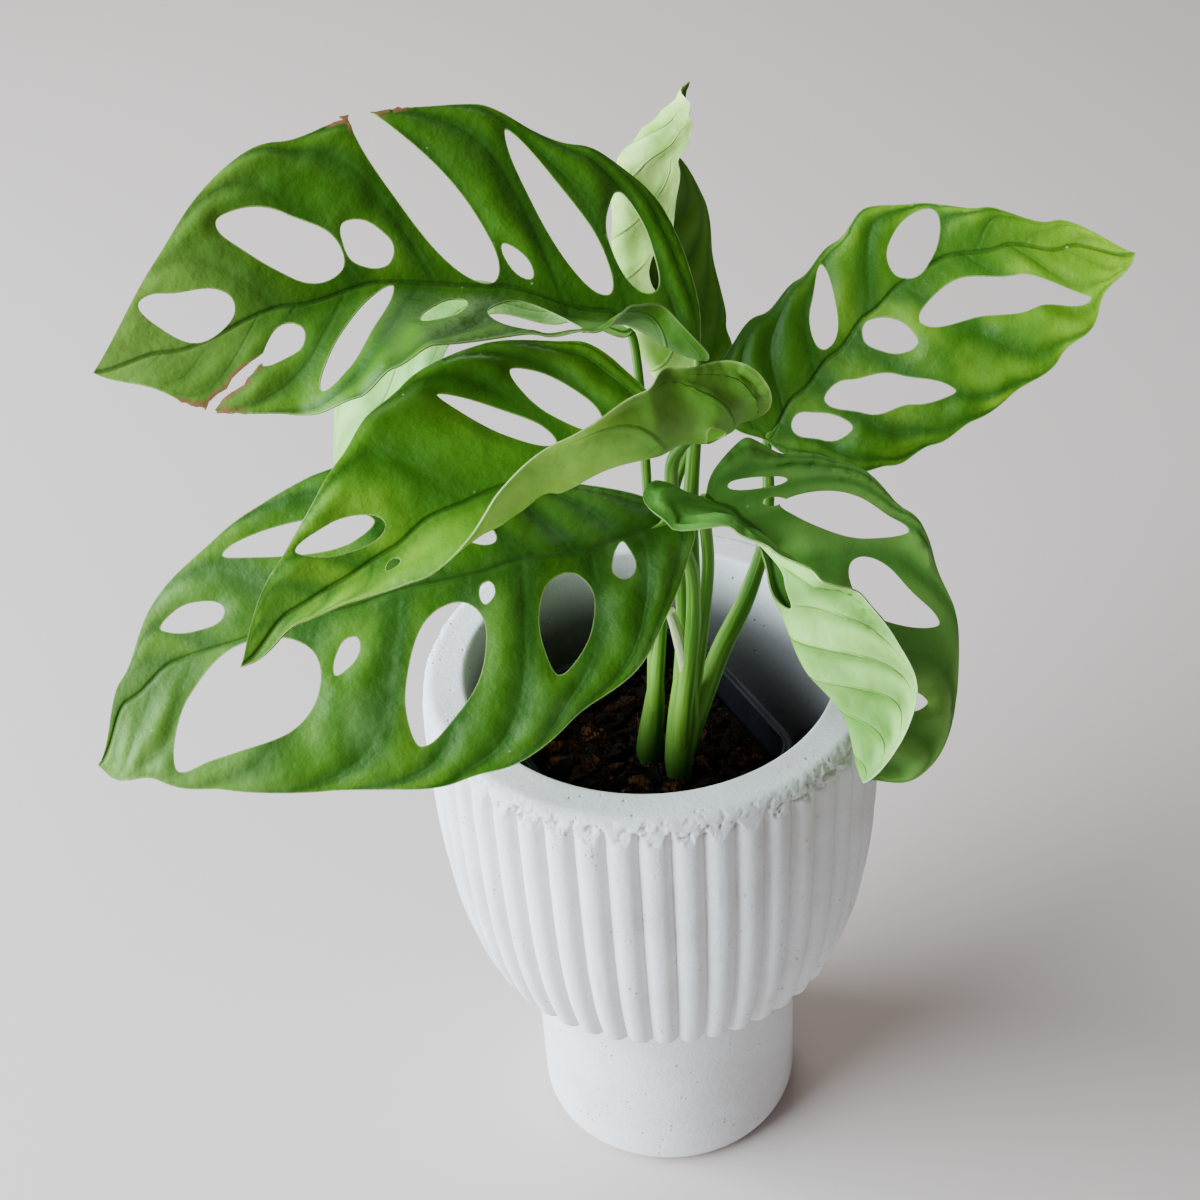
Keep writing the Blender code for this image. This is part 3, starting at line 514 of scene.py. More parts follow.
def make_bed(rows):
    """The mix under the chips: a lumpy top, and sides that follow the nursery pot."""
    side = nursery_side(SOIL_TOP) - 2 * NURSERY_WALL - 2 * MIX_GAP
    verts, faces, tones = rows
    edge = rounded_square(side, NURSERY_CORNER - 2, 0.0, 12)
    start = len(verts)
    middle_x, middle_y = NURSERY_CENTRE

    def ring_at(share):
        return [(middle_x + (x - middle_x) * share, middle_y + (y - middle_y) * share) for x, y, _ in edge]

    for ring in range(BED_RINGS + 1):
        verts.extend((x, y, bed_height(x, y)) for x, y in ring_at(max(ring / BED_RINGS, 0.01)))
    low = SHOULDER_HEIGHT + TOUCH_GAP + NURSERY_WALL + TOUCH_GAP
    shrink = (nursery_side(low) - 2 * NURSERY_WALL - 2 * MIX_GAP) / side
    verts.extend((x, y, low) for x, y in ring_at(shrink))
    faces.extend(ring_faces(BED_RINGS + 2, len(edge), start))
    tones.extend([0.1] * (len(verts) - start))


def add_chip(rows, rng, x, y, size, tone, heap=0.0):
    """One broken chip: the hull of a few random points in a flat, tilted box, raised by heap."""
    verts, faces, tones = rows
    bm = bmesh.new()
    half = [size / 2 * rng.uniform(low, high) for low, high in CHIP_SIDES]
    for _ in range(CHIP_POINTS):
        p = Vector([rng.uniform(-1, 1) for _ in range(3)])
        p = p / max(1.0, 0.8 * p.length)
        bm.verts.new([c * h for c, h in zip(p, half)])
    hull = bmesh.ops.convex_hull(bm, input=bm.verts)
    bmesh.ops.delete(bm, geom=[g for g in hull["geom_interior"] if isinstance(g, bmesh.types.BMVert)],
                     context="VERTS")
    turn = Matrix.Rotation(rng.uniform(0, math.tau), 3, "Z") @ Matrix.Rotation(rng.gauss(0, 0.5), 3, "X")
    turn = turn @ Matrix.Rotation(rng.gauss(0, 0.35), 3, "Y")
    raised = rng.uniform(0.0, 0.35) * size * 0.6
    centre = Vector((x, y, bed_height(x, y) + heap + raised))
    start = len(verts)
    bm.verts.index_update()
    verts.extend(tuple(turn @ v.co + centre) for v in bm.verts)
    faces.extend(tuple(start + v.index for v in f.verts) for f in bm.faces)
    tones.extend([tone] * len(bm.verts))
    bm.free()


def add_fibre(rows, rng, x, y):
    """A strand of coir that curls over the chips: a thin four-sided tube."""
    verts, faces, tones = rows
    heading = rng.uniform(0, math.tau)
    curl = rng.gauss(0, 0.25)
    p = Vector((x, y, bed_height(x, y) + rng.uniform(0.6, 2.0)))
    start = len(verts)
    steps = rng.randint(7, 14)
    tone = rng.uniform(0.45, 1.0)
    for k in range(steps):
        ahead = Vector((math.cos(heading), math.sin(heading), 0.0))
        side = Vector((-ahead.y, ahead.x, 0.0))
        for across, up in ((1, 0), (0, 1), (-1, 0), (0, -1)):
            verts.append(tuple(p + side * across * FIBRE_RADIUS + Vector((0, 0, up * FIBRE_RADIUS))))
        heading += curl + rng.gauss(0, 0.2)
        p = p + ahead * FIBRE_STEP + Vector((0, 0, rng.gauss(0, 0.22)))
        p.z = max(p.z, bed_height(p.x, p.y) + 0.3)
    faces.extend(ring_faces(steps, 4, start))
    tones.extend([tone] * 4 * steps)


def make_mix_mesh():
    rng = random.Random(MIX_SEED)
    rows = ([], [], [])
    make_bed(rows)
    inner = nursery_side(SOIL_TOP) - 2 * NURSERY_WALL

    def spot(margin, clear):
        while True:
            x = NURSERY_CENTRE[0] + rng.uniform(-0.72, 0.72) * inner
            y = NURSERY_CENTRE[1] + rng.uniform(-0.72, 0.72) * inner
            free = all(math.hypot(x - sx, y - sy) > sr + clear for sx, sy, sr in STEM_PLACES)
            if free and in_nursery(x, y, inner - 2 * margin, NURSERY_CORNER - margin / 2):
                return x, y

    for _ in range(CHIP_COUNT):
        size = rng.choice(CHIP_SIZES)
        x, y = spot(size * 0.6, size * 0.3)
        add_chip(rows, rng, x, y, size, rng.random() ** 1.7)
    for _ in range(CRUMB_COUNT):
        x, y = spot(1.2, 0.2)
        add_chip(rows, rng, x, y, rng.uniform(*CRUMB_SIZES), rng.random())
    for sx, sy, reach in STEM_PLACES * HEAP_COUNT:
        turn = rng.uniform(0, math.tau)
        away = reach + rng.uniform(0.0, 1.6)
        x, y = sx + away * math.cos(turn), sy + away * math.sin(turn)
        add_chip(rows, rng, x, y, rng.uniform(*HEAP_SIZES), rng.random(), rng.uniform(*HEAP_HEIGHTS))
    for _ in range(FIBRE_COUNT):
        x, y = spot(12.0, 5.0)
        add_fibre(rows, rng, x, y)
    verts, faces, tones = rows
    mesh = build_mesh("bark_mix", verts, faces, tone=tones)
    mesh.validate()
    return mesh


def make_bark_group():
    """Damp bark: each chip has its own tone, broken by fine fibres and dark wet patches."""
    skin = Skin("damp_bark", {"Wet": (0.0035, 0.0022, 0.0013), "Brown": (0.026, 0.011, 0.005),
                              "Red": (0.12, 0.045, 0.018)})
    given = skin.given
    tone = skin.value("tone")
    drawn_out = put(skin.tree, "Mapping", {"Vector": skin.place, "Scale": (1.0, 0.25, 1.0)}).outputs[0]
    grain = put(skin.tree, "TexNoise", {"Vector": drawn_out, "Scale": 1400.0, "Detail": 4.0}).outputs[0]
    damp = skin.cloud(160.0)
    low = skin.tint(given["Wet"], given["Brown"], skin.fade(tone, 0.15, 0.75))
    high = skin.tint(low, given["Red"], skin.fade(tone, 0.62, 0.95))
    dry = skin.tint(given["Wet"], high, skin.fade(grain, 0.35, 0.7), skin.fade(damp, 0.35, 0.6, 0.35, 1.0))
    return skin.finish(dry, skin.fade(damp, 0.35, 0.65, 0.55, 0.95), grain)


bark_material = surface_material("damp_bark", make_bark_group(), specular=0.05, bump=0.0005, strength=0.8)
bark_mix = add_object("bark_mix", make_mix_mesh(), bark_material)
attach(bark_mix, "root")
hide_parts("soil")


# Blades: living leaves about half a millimetre thick, each cut in one piece with its holes. The
# rib is a groove above and a ridge below, and the blade swells softly between its side veins.
BLADE_THICKNESS = 0.5
EDGE_STEP = 1.3
GRID_STEP = 1.8
RIB_STEP = 1.6
RIB_ROWS = (0.0, 0.5, 1.0, 1.7, 2.6)
RIB_RAMP = 5.0
RIB_GROOVE = 0.35
RIB_RIDGE = ((0.0, 1.25), (0.35, 0.8), (1.0, 0.2))
PUFF = 1.0
PUFF_POWER = 1.3
PUCKER = 0.45
VEIN_SWEEP = 3.0
TEAR = 2.2
VEIN_PITCH = 13.0
VEIN_ANGLES = (82.0, 40.0)
BEND_STEPS = 28
GRID_REACH = 75.0
SPAN_SAMPLES = 12


def eased(value):
    value = np.clip(value, 0.0, 1.0)
    return value * value * (3.0 - 2.0 * value)


def stations(table, where):
    """Read smooth values from a short table of (place, value) pairs."""
    places = np.array([row[0] for row in table], float)
    values = np.array([row[1] for row in table], float)
    where = np.clip(np.asarray(where, float), places[0], places[-1])
    if len(places) == 1:
        return np.full(where.shape, values[0])
    k = np.clip(np.searchsorted(places, where) - 1, 0, len(places) - 2)
    return values[k] + (values[k + 1] - values[k]) * eased((where - places[k]) / (places[k + 1] - places[k]))


def spline(points, samples):
    """Catmull-Rom points through a short list, open, with a number of samples on each span."""
    pts = [np.array(p, float) for p in points]
    pts = [pts[0] * 2 - pts[1]] + pts + [pts[-1] * 2 - pts[-2]]
    out = []
    for p0, p1, p2, p3 in zip(pts, pts[1:], pts[2:], pts[3:]):
        for k in range(samples):
            u = k / samples
            out.append(0.5 * (2 * p1 + (p2 - p0) * u + (2 * p0 - 5 * p1 + 4 * p2 - p3) * u * u
                              + (3 * p1 - p0 - 3 * p2 + p3) * u ** 3))
    out.append(pts[-2])
    return np.array(out)


def even_points(path, step):
    """Points along a path, an even step apart, with both ends kept."""
    lengths = np.concatenate([[0.0], np.cumsum(np.linalg.norm(np.diff(path, axis=0), axis=1))])
    wanted = np.linspace(0.0, lengths[-1], max(2, round(lengths[-1] / step)) + 1)
    return np.stack([np.interp(wanted, lengths, path[:, k]) for k in range(path.shape[1])], axis=1)


def inside(points, loop):
    """Which flat points lie inside a closed loop."""
    a, b = loop, np.roll(loop, -1, axis=0)
    x, y = points[:, :1], points[:, 1:]
    rise = np.where(np.abs(b[:, 1] - a[:, 1]) < 1e-9, 1e-9, b[:, 1] - a[:, 1])
    crossing = (a[:, 1] > y) != (b[:, 1] > y)
    left_of = x < a[:, 0] + (b[:, 0] - a[:, 0]) * (y - a[:, 1]) / rise
    return (crossing & left_of).sum(axis=1) % 2 == 1


def edge_distance(points, loops):
    """Distance from each flat point to the nearest edge of the margin or of a hole."""
    best = np.full(len(points), 1e9)
    for loop in loops:
        ab = np.roll(loop, -1, axis=0) - loop
        ap = points[:, None, :] - loop[None, :, :]
        t = np.clip((ap * ab).sum(axis=2) / np.maximum((ab * ab).sum(axis=1), 1e-12), 0.0, 1.0)
        gap = np.linalg.norm(ap - t[:, :, None] * ab, axis=2).min(axis=1)
        best = np.minimum(best, gap)
    return best


def teardrop(x, y, length, width, slant, taper=0.25):
    """A hole in the blade: a slanted, slightly uneven oval, blunter towards the rib for a positive taper."""
    count = max(18, round(math.pi * (length + width) / 2 / EDGE_STEP))
    a = np.arange(count) * math.tau / count
    turn = math.radians(slant)
    uneven = 1.0 + 0.035 * np.sin(3 * a + x) + 0.025 * np.sin(5 * a + y)
    u = length / 2 * np.cos(a)
    v = width / 2 * np.sin(a) * np.abs(np.sin(a)) ** 0.12 * (1 - taper * np.cos(a)) * uneven
    c, s = math.cos(turn), math.sin(turn)
    return np.stack([x + u * c - v * s, y + u * s + v * c], axis=1)


class Blade:
    """One blade's form: where its rib runs, which way it faces, its two halves and its holes.

    x runs from the base along the chord to the tip and y across it, in millimetres, positive on
    the left when looking from base to tip on the upper side. bow and lift bend the rib sideways
    and up. fold and edge give each half's angle to the blade's plane at the rib and out at reach.
    """

    def __init__(self, name, base, tip, face, bow, left, right, holes, seed, lift=((0, 0),),
                 left_fold=((0, 8),), right_fold=((0, 8),), left_edge=((0, -6),), right_edge=((0, -6),),
                 left_reach=35.0, right_reach=35.0, torn=(), wave=0.6, puff=PUFF):
        self.name = name
        self.base = np.array(base, float)
        along = np.array(tip, float) - self.base
        self.length = float(np.linalg.norm(along))
        self.along = along / self.length
        face = np.array(face, float)
        face = face - self.along * face.dot(self.along)
        self.face = face / np.linalg.norm(face)
        self.side = np.cross(self.face, self.along)
        self.bow = bow
        self.lift = lift
        self.left = left
        self.right = right
        self.holes = holes
        self.fold = {1: left_fold, -1: right_fold}
        self.edge = {1: left_edge, -1: right_edge}
        self.reach = {1: left_reach, -1: right_reach}
        self.torn = torn
        self.wave = wave
        self.puff = puff
        self.seed = seed

    def place(self, flat):
        """Places of flat points on the bent blade's middle surface."""
        x, y = flat[:, 0], flat[:, 1]
        half = np.where(y >= 0, 1, -1)
        fold = np.radians(np.where(half > 0, stations(self.fold[1], x), stations(self.fold[-1], x)))
        edge = np.radians(np.where(half > 0, stations(self.edge[1], x), stations(self.edge[-1], x)))
        reach = np.where(half > 0, self.reach[1], self.reach[-1])
        across = np.zeros(len(x))
        up = np.zeros(len(x))
        step = np.abs(y) / BEND_STEPS
        for k in range(BEND_STEPS):
            v = (k + 0.5) * step
            angle = fold * eased(v / RIB_RAMP) + (edge - fold) * np.minimum(v / reach, 1.0)
            across += np.cos(angle) * step
            up += np.sin(angle) * step
        sideways = stations(self.bow, x) + half * across
        upwards = stations(self.lift, x) + up
        return (self.base + np.outer(x, self.along) + np.outer(sideways, self.side)
                + np.outer(upwards, self.face))

    def outline(self):
        left = spline([(x, y) for x, y in self.left], SPAN_SAMPLES)
        right = spline([(x, -y) for x, y in reversed(self.right)], SPAN_SAMPLES)
        return np.concatenate([even_points(left, EDGE_STEP), even_points(right, EDGE_STEP)[1:-1]])

    def torn_share(self, flat):
        """How close flat points are to a torn place, 0 to 1."""
        share = np.zeros(len(flat))
        for x, y, size in self.torn:
            share = np.maximum(share, 1.0 - np.hypot(flat[:, 0] - x, flat[:, 1] - y) / size)
        return share

    def vein_foot(self, flat):
        """Where on the rib the side vein through each flat point starts; veins sweep forward outwards."""
        x, y = flat[:, 0], np.abs(flat[:, 1])
        out = y / (y + edge_distance(flat, [self.outline()]) + 0.01)
        sweep = VEIN_SWEEP * out ** 3 / (1.1 - out)
        first, last = VEIN_ANGLES
        foot = x.copy()
        for _ in range(8):
            angle = np.radians(first + (last - first) * np.clip(foot / self.length, 0.0, 1.0))
            foot = x - y / np.tan(angle) - sweep
        return foot

    def vein_feet(self, half):
        """Side veins leave the rib halfway between neighbouring holes, and evenly past the last."""
        rows = []
        for hole in self.holes:
            if hole[1] * half > 0:
                rows.append(float(self.vein_foot(np.array([hole[:2]], float))[0]))
        merged = []
        for row in sorted(rows):
            if merged and row - merged[-1] < 0.5 * VEIN_PITCH:
                merged[-1] = 0.5 * (merged[-1] + row)
            else:
                merged.append(row)
        if not merged:
            merged = [0.4 * self.length]
        feet = [0.5 * (a + b) for a, b in zip(merged, merged[1:])]
        feet = [merged[0] - 0.5 * VEIN_PITCH] + feet + [merged[-1] + 0.5 * VEIN_PITCH]
        while feet[0] > VEIN_PITCH:
            feet.insert(0, feet[0] - VEIN_PITCH)
        while feet[-1] < self.length - 0.6 * VEIN_PITCH:
            feet.append(feet[-1] + VEIN_PITCH)
        return [feet[0] - 2 * VEIN_PITCH, feet[0] - VEIN_PITCH] + feet + [feet[-1] + VEIN_PITCH]

    def vein_phase(self, flat, half):
        """A number that is whole on each side vein and runs evenly between them."""
        feet = self.vein_feet(half)
        return np.interp(self.vein_foot(flat), feet, np.arange(len(feet)))


def blade_points(blade, loops):
    """Inner points of the flat blade: close rows along the rib and an even spread over the rest."""
    rows = []
    along = np.arange(0.8, blade.length, RIB_STEP)
    for y in RIB_ROWS:
        for sign in ((1,) if y == 0 else (1, -1)):
            rows.append(np.stack([along, np.full(len(along), sign * y)], axis=1))
    grid = []
    for j in range(-int(GRID_REACH / GRID_STEP), int(GRID_REACH / GRID_STEP) + 1):
        y = j * GRID_STEP * 0.87
        if abs(y) > RIB_ROWS[-1] + 0.7:
            x = np.arange(-20.0, blade.length + 10.0, GRID_STEP) + 0.5 * (j % 2) * GRID_STEP
            grid.append(np.stack([x, np.full(len(x), y)], axis=1))
    kept = []
    for points, clear in ((np.concatenate(rows), 0.5), (np.concatenate(grid), 0.45 * GRID_STEP)):
        points = points[inside(points, loops[0])]
        for hole in loops[1:]:
            points = points[~inside(points, hole)]
        kept.append(points[edge_distance(points, loops) > clear])
    return np.concatenate(kept)


def edges_of(tri):
    a, b, c = tri
    return (a, b), (b, c), (c, a)


def largest_piece(tris):
    """Keep the triangles that hang together with the most others, edge to edge."""
    by_edge = {}
    for index, tri in enumerate(tris):
        for edge in edges_of(tri):
            by_edge.setdefault((min(edge), max(edge)), []).append(index)
    group = [-1] * len(tris)
    sizes = []
    for start in range(len(tris)):
        if group[start] >= 0:
            continue
        stack = [start]
        group[start] = len(sizes)
        size = 0
        while stack:
            size += 1
            for edge in edges_of(tris[stack.pop()]):
                for other in by_edge[(min(edge), max(edge))]:
                    if group[other] < 0:
                        group[other] = len(sizes)
                        stack.append(other)
        sizes.append(size)
    best = sizes.index(max(sizes))
    return [tri for tri, g in zip(tris, group) if g == best]


def ragged(blade, loop):
    """Roughen a cut loop where the blade is torn."""
    shift = [(waver(x * 0.9, y * 0.9, 3.0), waver(x * 0.9, y * 0.9, 11.0)) for x, y in loop]
    return loop + TEAR * np.clip(blade.torn_share(loop), 0.0, 1.0)[:, None] * np.array(shift)


def flat_blade(blade):
    """The flat blade's points, its triangles with holes and slits cut out, and its cut loops.

    It is done twice: the second time with a point in the middle of each narrow bridge.
    """
    loops = [ragged(blade, loop) for loop in [blade.outline()] + [teardrop(*hole) for hole in blade.holes]]
    points = []
    edges = []
    for loop in loops:
        start = len(points)
        points.extend(Vector(p) for p in loop)
        edges.extend((start + k, start + (k + 1) % len(loop)) for k in range(len(loop)))
    points.extend(Vector(p) for p in blade_points(blade, loops))
    for _ in range(2):
        flat, _, tris, *_ = delaunay_2d_cdt(points, edges, [], 0, 1e-4)
        flat = np.array([tuple(p) for p in flat])
        tris = np.array(tris)
        middle = flat[tris].mean(axis=1)
        keep = inside(middle, loops[0])
        for hole in loops[1:]:
            keep &= ~inside(middle, hole)
        tris = largest_piece([tuple(int(k) for k in tri) for tri in tris[keep]])
        bound = edge_distance(flat, loops) < 1e-3
        links = {(min(edge), max(edge)) for tri in tris for edge in edges_of(tri)}
        halfway = np.array([0.5 * (flat[a] + flat[b]) for a, b in sorted(links) if bound[a] and bound[b]])
        points.extend(Vector(p) for p in halfway[edge_distance(halfway, loops) > 0.3])
    used = np.array(sorted({k for tri in tris for k in tri}))
    number = np.zeros(len(flat), int)
    number[used] = np.arange(len(used))
    return flat[used], number[np.array(tris)], loops


def surface_normals(points, tris):
    normals = np.zeros_like(points)
    a, b, c = points[tris[:, 0]], points[tris[:, 1]], points[tris[:, 2]]
    face = np.cross(b - a, c - a)
    for k in range(3):
        np.add.at(normals, tris[:, k], face)
    return normals / np.maximum(np.linalg.norm(normals, axis=1), 1e-12)[:, None]


def swell(blade, flat, margin):
    """Height of the blade's soft relief: puffed between side veins, and waved towards its margin."""
    y = flat[:, 1]

    def cloud(along, across, layer):
        return np.array([waver(px * along, py * across, blade.seed + layer) for px, py in flat])

    phase = np.where(y >= 0, blade.vein_phase(flat, 1), blade.vein_phase(flat, -1))
    puff = np.abs(np.sin(math.pi * phase)) ** PUFF_POWER * (1.0 + 0.8 * cloud(0.05, 0.05, 0.0))
    room = eased((np.abs(y) - 1.5) / 12.0) * eased(margin / 5.0 + 0.15)
    wave = 1.6 * cloud(0.045, 0.02, 7.0) * eased(np.abs(y) / 30.0)
    return (blade.puff * puff + PUCKER * cloud(0.15, 0.15, 4.0)) * room + blade.wave * wave


def make_blade_mesh(blade):
    """Bend the flat blade, swell it, and give it two faces that share the same triangles."""
    flat, tris, loops = flat_blade(blade)
    margin = edge_distance(flat, loops)
    middle = blade.place(flat)
    middle = middle + surface_normals(middle, tris) * swell(blade, flat, margin)[:, None]
    normals = surface_normals(middle, tris)
    y = np.abs(flat[:, 1])
    end = eased(margin / 1.5)
    groove = RIB_GROOVE * np.exp(-(y / 0.9) ** 2) * end
    ridge = stations(RIB_RIDGE, flat[:, 0] / blade.length) * np.exp(-(y / 1.1) ** 2) * end
    top = middle + normals * (BLADE_THICKNESS / 2 - groove)[:, None]
    under = middle - normals * (BLADE_THICKNESS / 2 + ridge)[:, None]
    count = len(flat)
    faces = [tuple(int(k) for k in tri) for tri in tris]
    faces += [(c + count, b + count, a + count) for a, b, c in faces]
    edges = dict.fromkeys(edge for tri in faces[:len(tris)] for edge in edges_of(tri))
    rim = [(b, a, a + count, b + count) for a, b in edges if (b, a) not in edges]
    cut = np.array(rim) % count
    left = flat[tris].mean(axis=1)[:, 1] >= 0
    phase = blade.vein_phase(flat, 1)
    corners = {"vein": (np.where(left[:, None], phase[tris], blade.vein_phase(flat, -1)[tris]), phase[cut]),
               "margin": (margin[tris], np.zeros(cut.shape))}
    spread = {"rib": flat[:, 1], "torn": blade.torn_share(flat), "along": flat[:, 0] / blade.length}
    for key, numbers in spread.items():
        corners[key] = (numbers[tris], numbers[cut])
    values = {key: np.concatenate([face.ravel(), face[:, ::-1].ravel(), on_rim.ravel()])
              for key, (face, on_rim) in corners.items()}
    mesh = build_mesh(blade.name, np.concatenate([top, under]), faces + rim, 60, "CORNER", **values)
    sides = np.concatenate([np.zeros(len(tris)), np.ones(len(tris)), np.zeros(len(rim))]).astype(np.int32)
    mesh.polygons.foreach_set("material_index", sides)
    return mesh


def vein_line(skin, phase, width):
    """A mask on each side vein; width is its half width as a share of the space between veins."""
    return skin.drop(skin.calc("PINGPONG", phase, 0.5), 0.0, width)


def make_upper_group():
    """The blade's upper side: deep green along the veins, fresher and yellower between and outwards, with
    painted shade beside the veins, a painted sheen and a painted glow.
    """
    skin = Skin("blade_upper", {
        "Deep": (0.020, 0.088, 0.001), "Fresh": (0.052, 0.172, 0.003), "Yellow": (0.095, 0.225, 0.003),
        "Tip": (0.200, 0.370, 0.060), "Light": (0.20, 0.38, 0.08), "Rib": (0.012, 0.055, 0.001),
        "Edge": (0.34, 0.46, 0.14), "Yellowing": 0.5, "Painted sheen": 0.3, "Pale veins and vein shade": 0.0, "Tip share": 0.6,
        "Left glow": 0.0})
    given = skin.given
    phase, rib, margin, along, torn = (skin.value(key) for key in ("vein", "rib", "margin", "along", "torn"))
    off_rib = skin.calc("ABSOLUTE", rib)
    wide = skin.cloud(22.0, 1.0)
    soft = skin.cloud(50.0, 2.0)
    between = skin.fade(skin.calc("PINGPONG", phase, 0.5), 0.03, 0.40)
    tone = skin.tint(given["Deep"], given["Fresh"], between, skin.fade(wide, 0.34, 0.62, 0.4, 1.0),
                     skin.fade(off_rib, 0.0, 10.0, 0.25, 1.0), skin.fade(along, 0.0, 0.4, 0.5, 1.0))
    outward = skin.calc("ADD", skin.drop(margin, 1.0, 12.0), 0.35)
    tone = skin.tint(tone, given["Yellow"], skin.fade(soft, 0.34, 0.68), outward,
                     skin.fade(along, 0.1, 0.7, 0.3, 1.0), given["Yellowing"], between)
    tone = skin.tint(tone, given["Tip"], skin.fade(along, 0.6, 1.05), skin.fade(wide, 0.30, 0.60, 0.5, 1.0),
                     given["Tip share"])
    line = skin.times(vein_line(skin, phase, 0.09), skin.fade(margin, 0.4, 5.0),
                      skin.drop(along, 0.65, 0.95, 0.25))
    pale = skin.times(line, given["Pale veins and vein shade"])
    # Painted shade on one side of each side vein, standing in for the shading of the puffs between them.
    painted_vein_shade = skin.drop(skin.calc("FRACT", phase), 0.02, 0.24)
    tone = skin.tint(tone, given["Deep"], painted_vein_shade, given["Pale veins and vein shade"], 0.4)
    tone = skin.tint(tone, given["Deep"], line, 0.35)
    tone = skin.tint(tone, given["Light"], pale, 0.22)
    # Painted glow: the left half is tinted yellow as if lit through from behind.
    tone = skin.tint(tone, given["Yellow"], skin.fade(rib, 0.5, 6.0), given["Left glow"])
    rib_line = skin.drop(off_rib, 0.2, 1.0)
    tone = skin.tint(tone, given["Rib"], rib_line, 0.6)
    tone = skin.tint(tone, given["Edge"], skin.drop(margin, 0.05, 0.42), 0.5)
    few = skin.fade(skin.cloud(60.0, 1.0), 0.60, 0.66)
    tone = skin.tint(tone, (0.62, 0.70, 0.52), skin.drop(skin.cells(170.0), 0.04, 0.09), few, 0.4)
    # Painted sheen: soft pale patches standing in for the lights' reflection.
    painted_sheen = skin.times(skin.fade(skin.cloud(55.0, 3.0), 0.42, 0.72), given["Painted sheen"])
    tone = skin.tint(tone, (0.24, 0.44, 0.13), painted_sheen, 0.4)
    tone = skin.tint(tone, (0.26, 0.12, 0.05), skin.fade(torn, 0.1, 0.5), skin.drop(margin, 0.5, 1.8),
                     skin.fade(skin.cloud(420.0, 2.0), 0.34, 0.50))
    rough = skin.calc("ADD", skin.fade(soft, 0.3, 0.7, 0.42, 0.52), skin.times(painted_sheen, 0.2))
    veins = skin.times(skin.calc("SUBTRACT", skin.times(pale, 1.6), line), 0.22)
    relief = skin.calc("SUBTRACT", veins, skin.times(rib_line, 0.6))
    relief = skin.calc("ADD", relief, skin.times(skin.cloud(300.0, 2.0), 0.8))
    relief = skin.calc("ADD", relief, skin.times(skin.cloud(1300.0, 2.0), 0.08))
    return skin.finish(tone, rough, relief)


def make_under_group():
    """The blade's underside: pale and matt, with raised veins, soft puffs between them and painted shade
    beside the veins.
    """
    skin = Skin("blade_under", {
        "Pale": (0.38, 0.63, 0.25), "Shade": (0.24, 0.46, 0.11), "Base": (0.26, 0.48, 0.13),
        "Rib": (0.42, 0.56, 0.18), "Edge": (0.62, 0.72, 0.46), "Base reach": 0.1})
    given = skin.given
    phase, rib, margin, along = (skin.value(key) for key in ("vein", "rib", "margin", "along"))
    wide = skin.cloud(40.0, 2.0)
    tone = skin.tint(given["Pale"], given["Shade"], skin.fade(wide, 0.38, 0.68, 0.0, 0.7))
    near = skin.drop(along, skin.times(given["Base reach"], 0.5), given["Base reach"])
    tone = skin.tint(tone, given["Base"], near)
    # Painted shade on one side of each side vein, standing in for the shading of the puffs.
    painted_under_shade = skin.drop(skin.calc("FRACT", phase), 0.0, 0.6)
    tone = skin.tint(tone, given["Shade"], painted_under_shade, skin.fade(margin, 0.5, 5.0),
                     skin.fade(skin.cloud(70.0, 2.0), 0.3, 0.62, 0.35, 1.2), 0.6)
    line = skin.times(vein_line(skin, phase, 0.06), skin.fade(margin, 0.5, 4.0))
    tone = skin.tint(tone, given["Rib"], line, 0.35)
    tone = skin.tint(tone, given["Rib"], skin.drop(skin.calc("ABSOLUTE", rib), 0.5, 1.5), 0.8)
    tone = skin.tint(tone, given["Edge"], skin.drop(margin, 0.15, 0.7), 0.4)
    relief = skin.calc("ADD", skin.times(line, 1.3), skin.times(skin.cloud(140.0, 2.0), 2.0))
    relief = skin.calc("ADD", relief, skin.times(skin.cloud(1100.0, 2.0), 0.08))
    return skin.finish(tone, skin.fade(wide, 0.3, 0.7, 0.48, 0.60), relief)


upper_group = make_upper_group()
under_group = make_under_group()
blades = {}


def grow_blade(name, *form, upper=None, under=None, **more):
    """Build one blade with its two finishes and put it in its solid's place."""
    blade = Blade(name, *form, **more)
    upper_material = surface_material(name + "_upper", upper_group, upper, specular=0.26)
    under_material = surface_material(name + "_under", under_group, under)
    piece = add_object(name + "_blade", make_blade_mesh(blade), upper_material, under_material)
    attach(piece, "root")
    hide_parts(name)
    blades[name] = blade
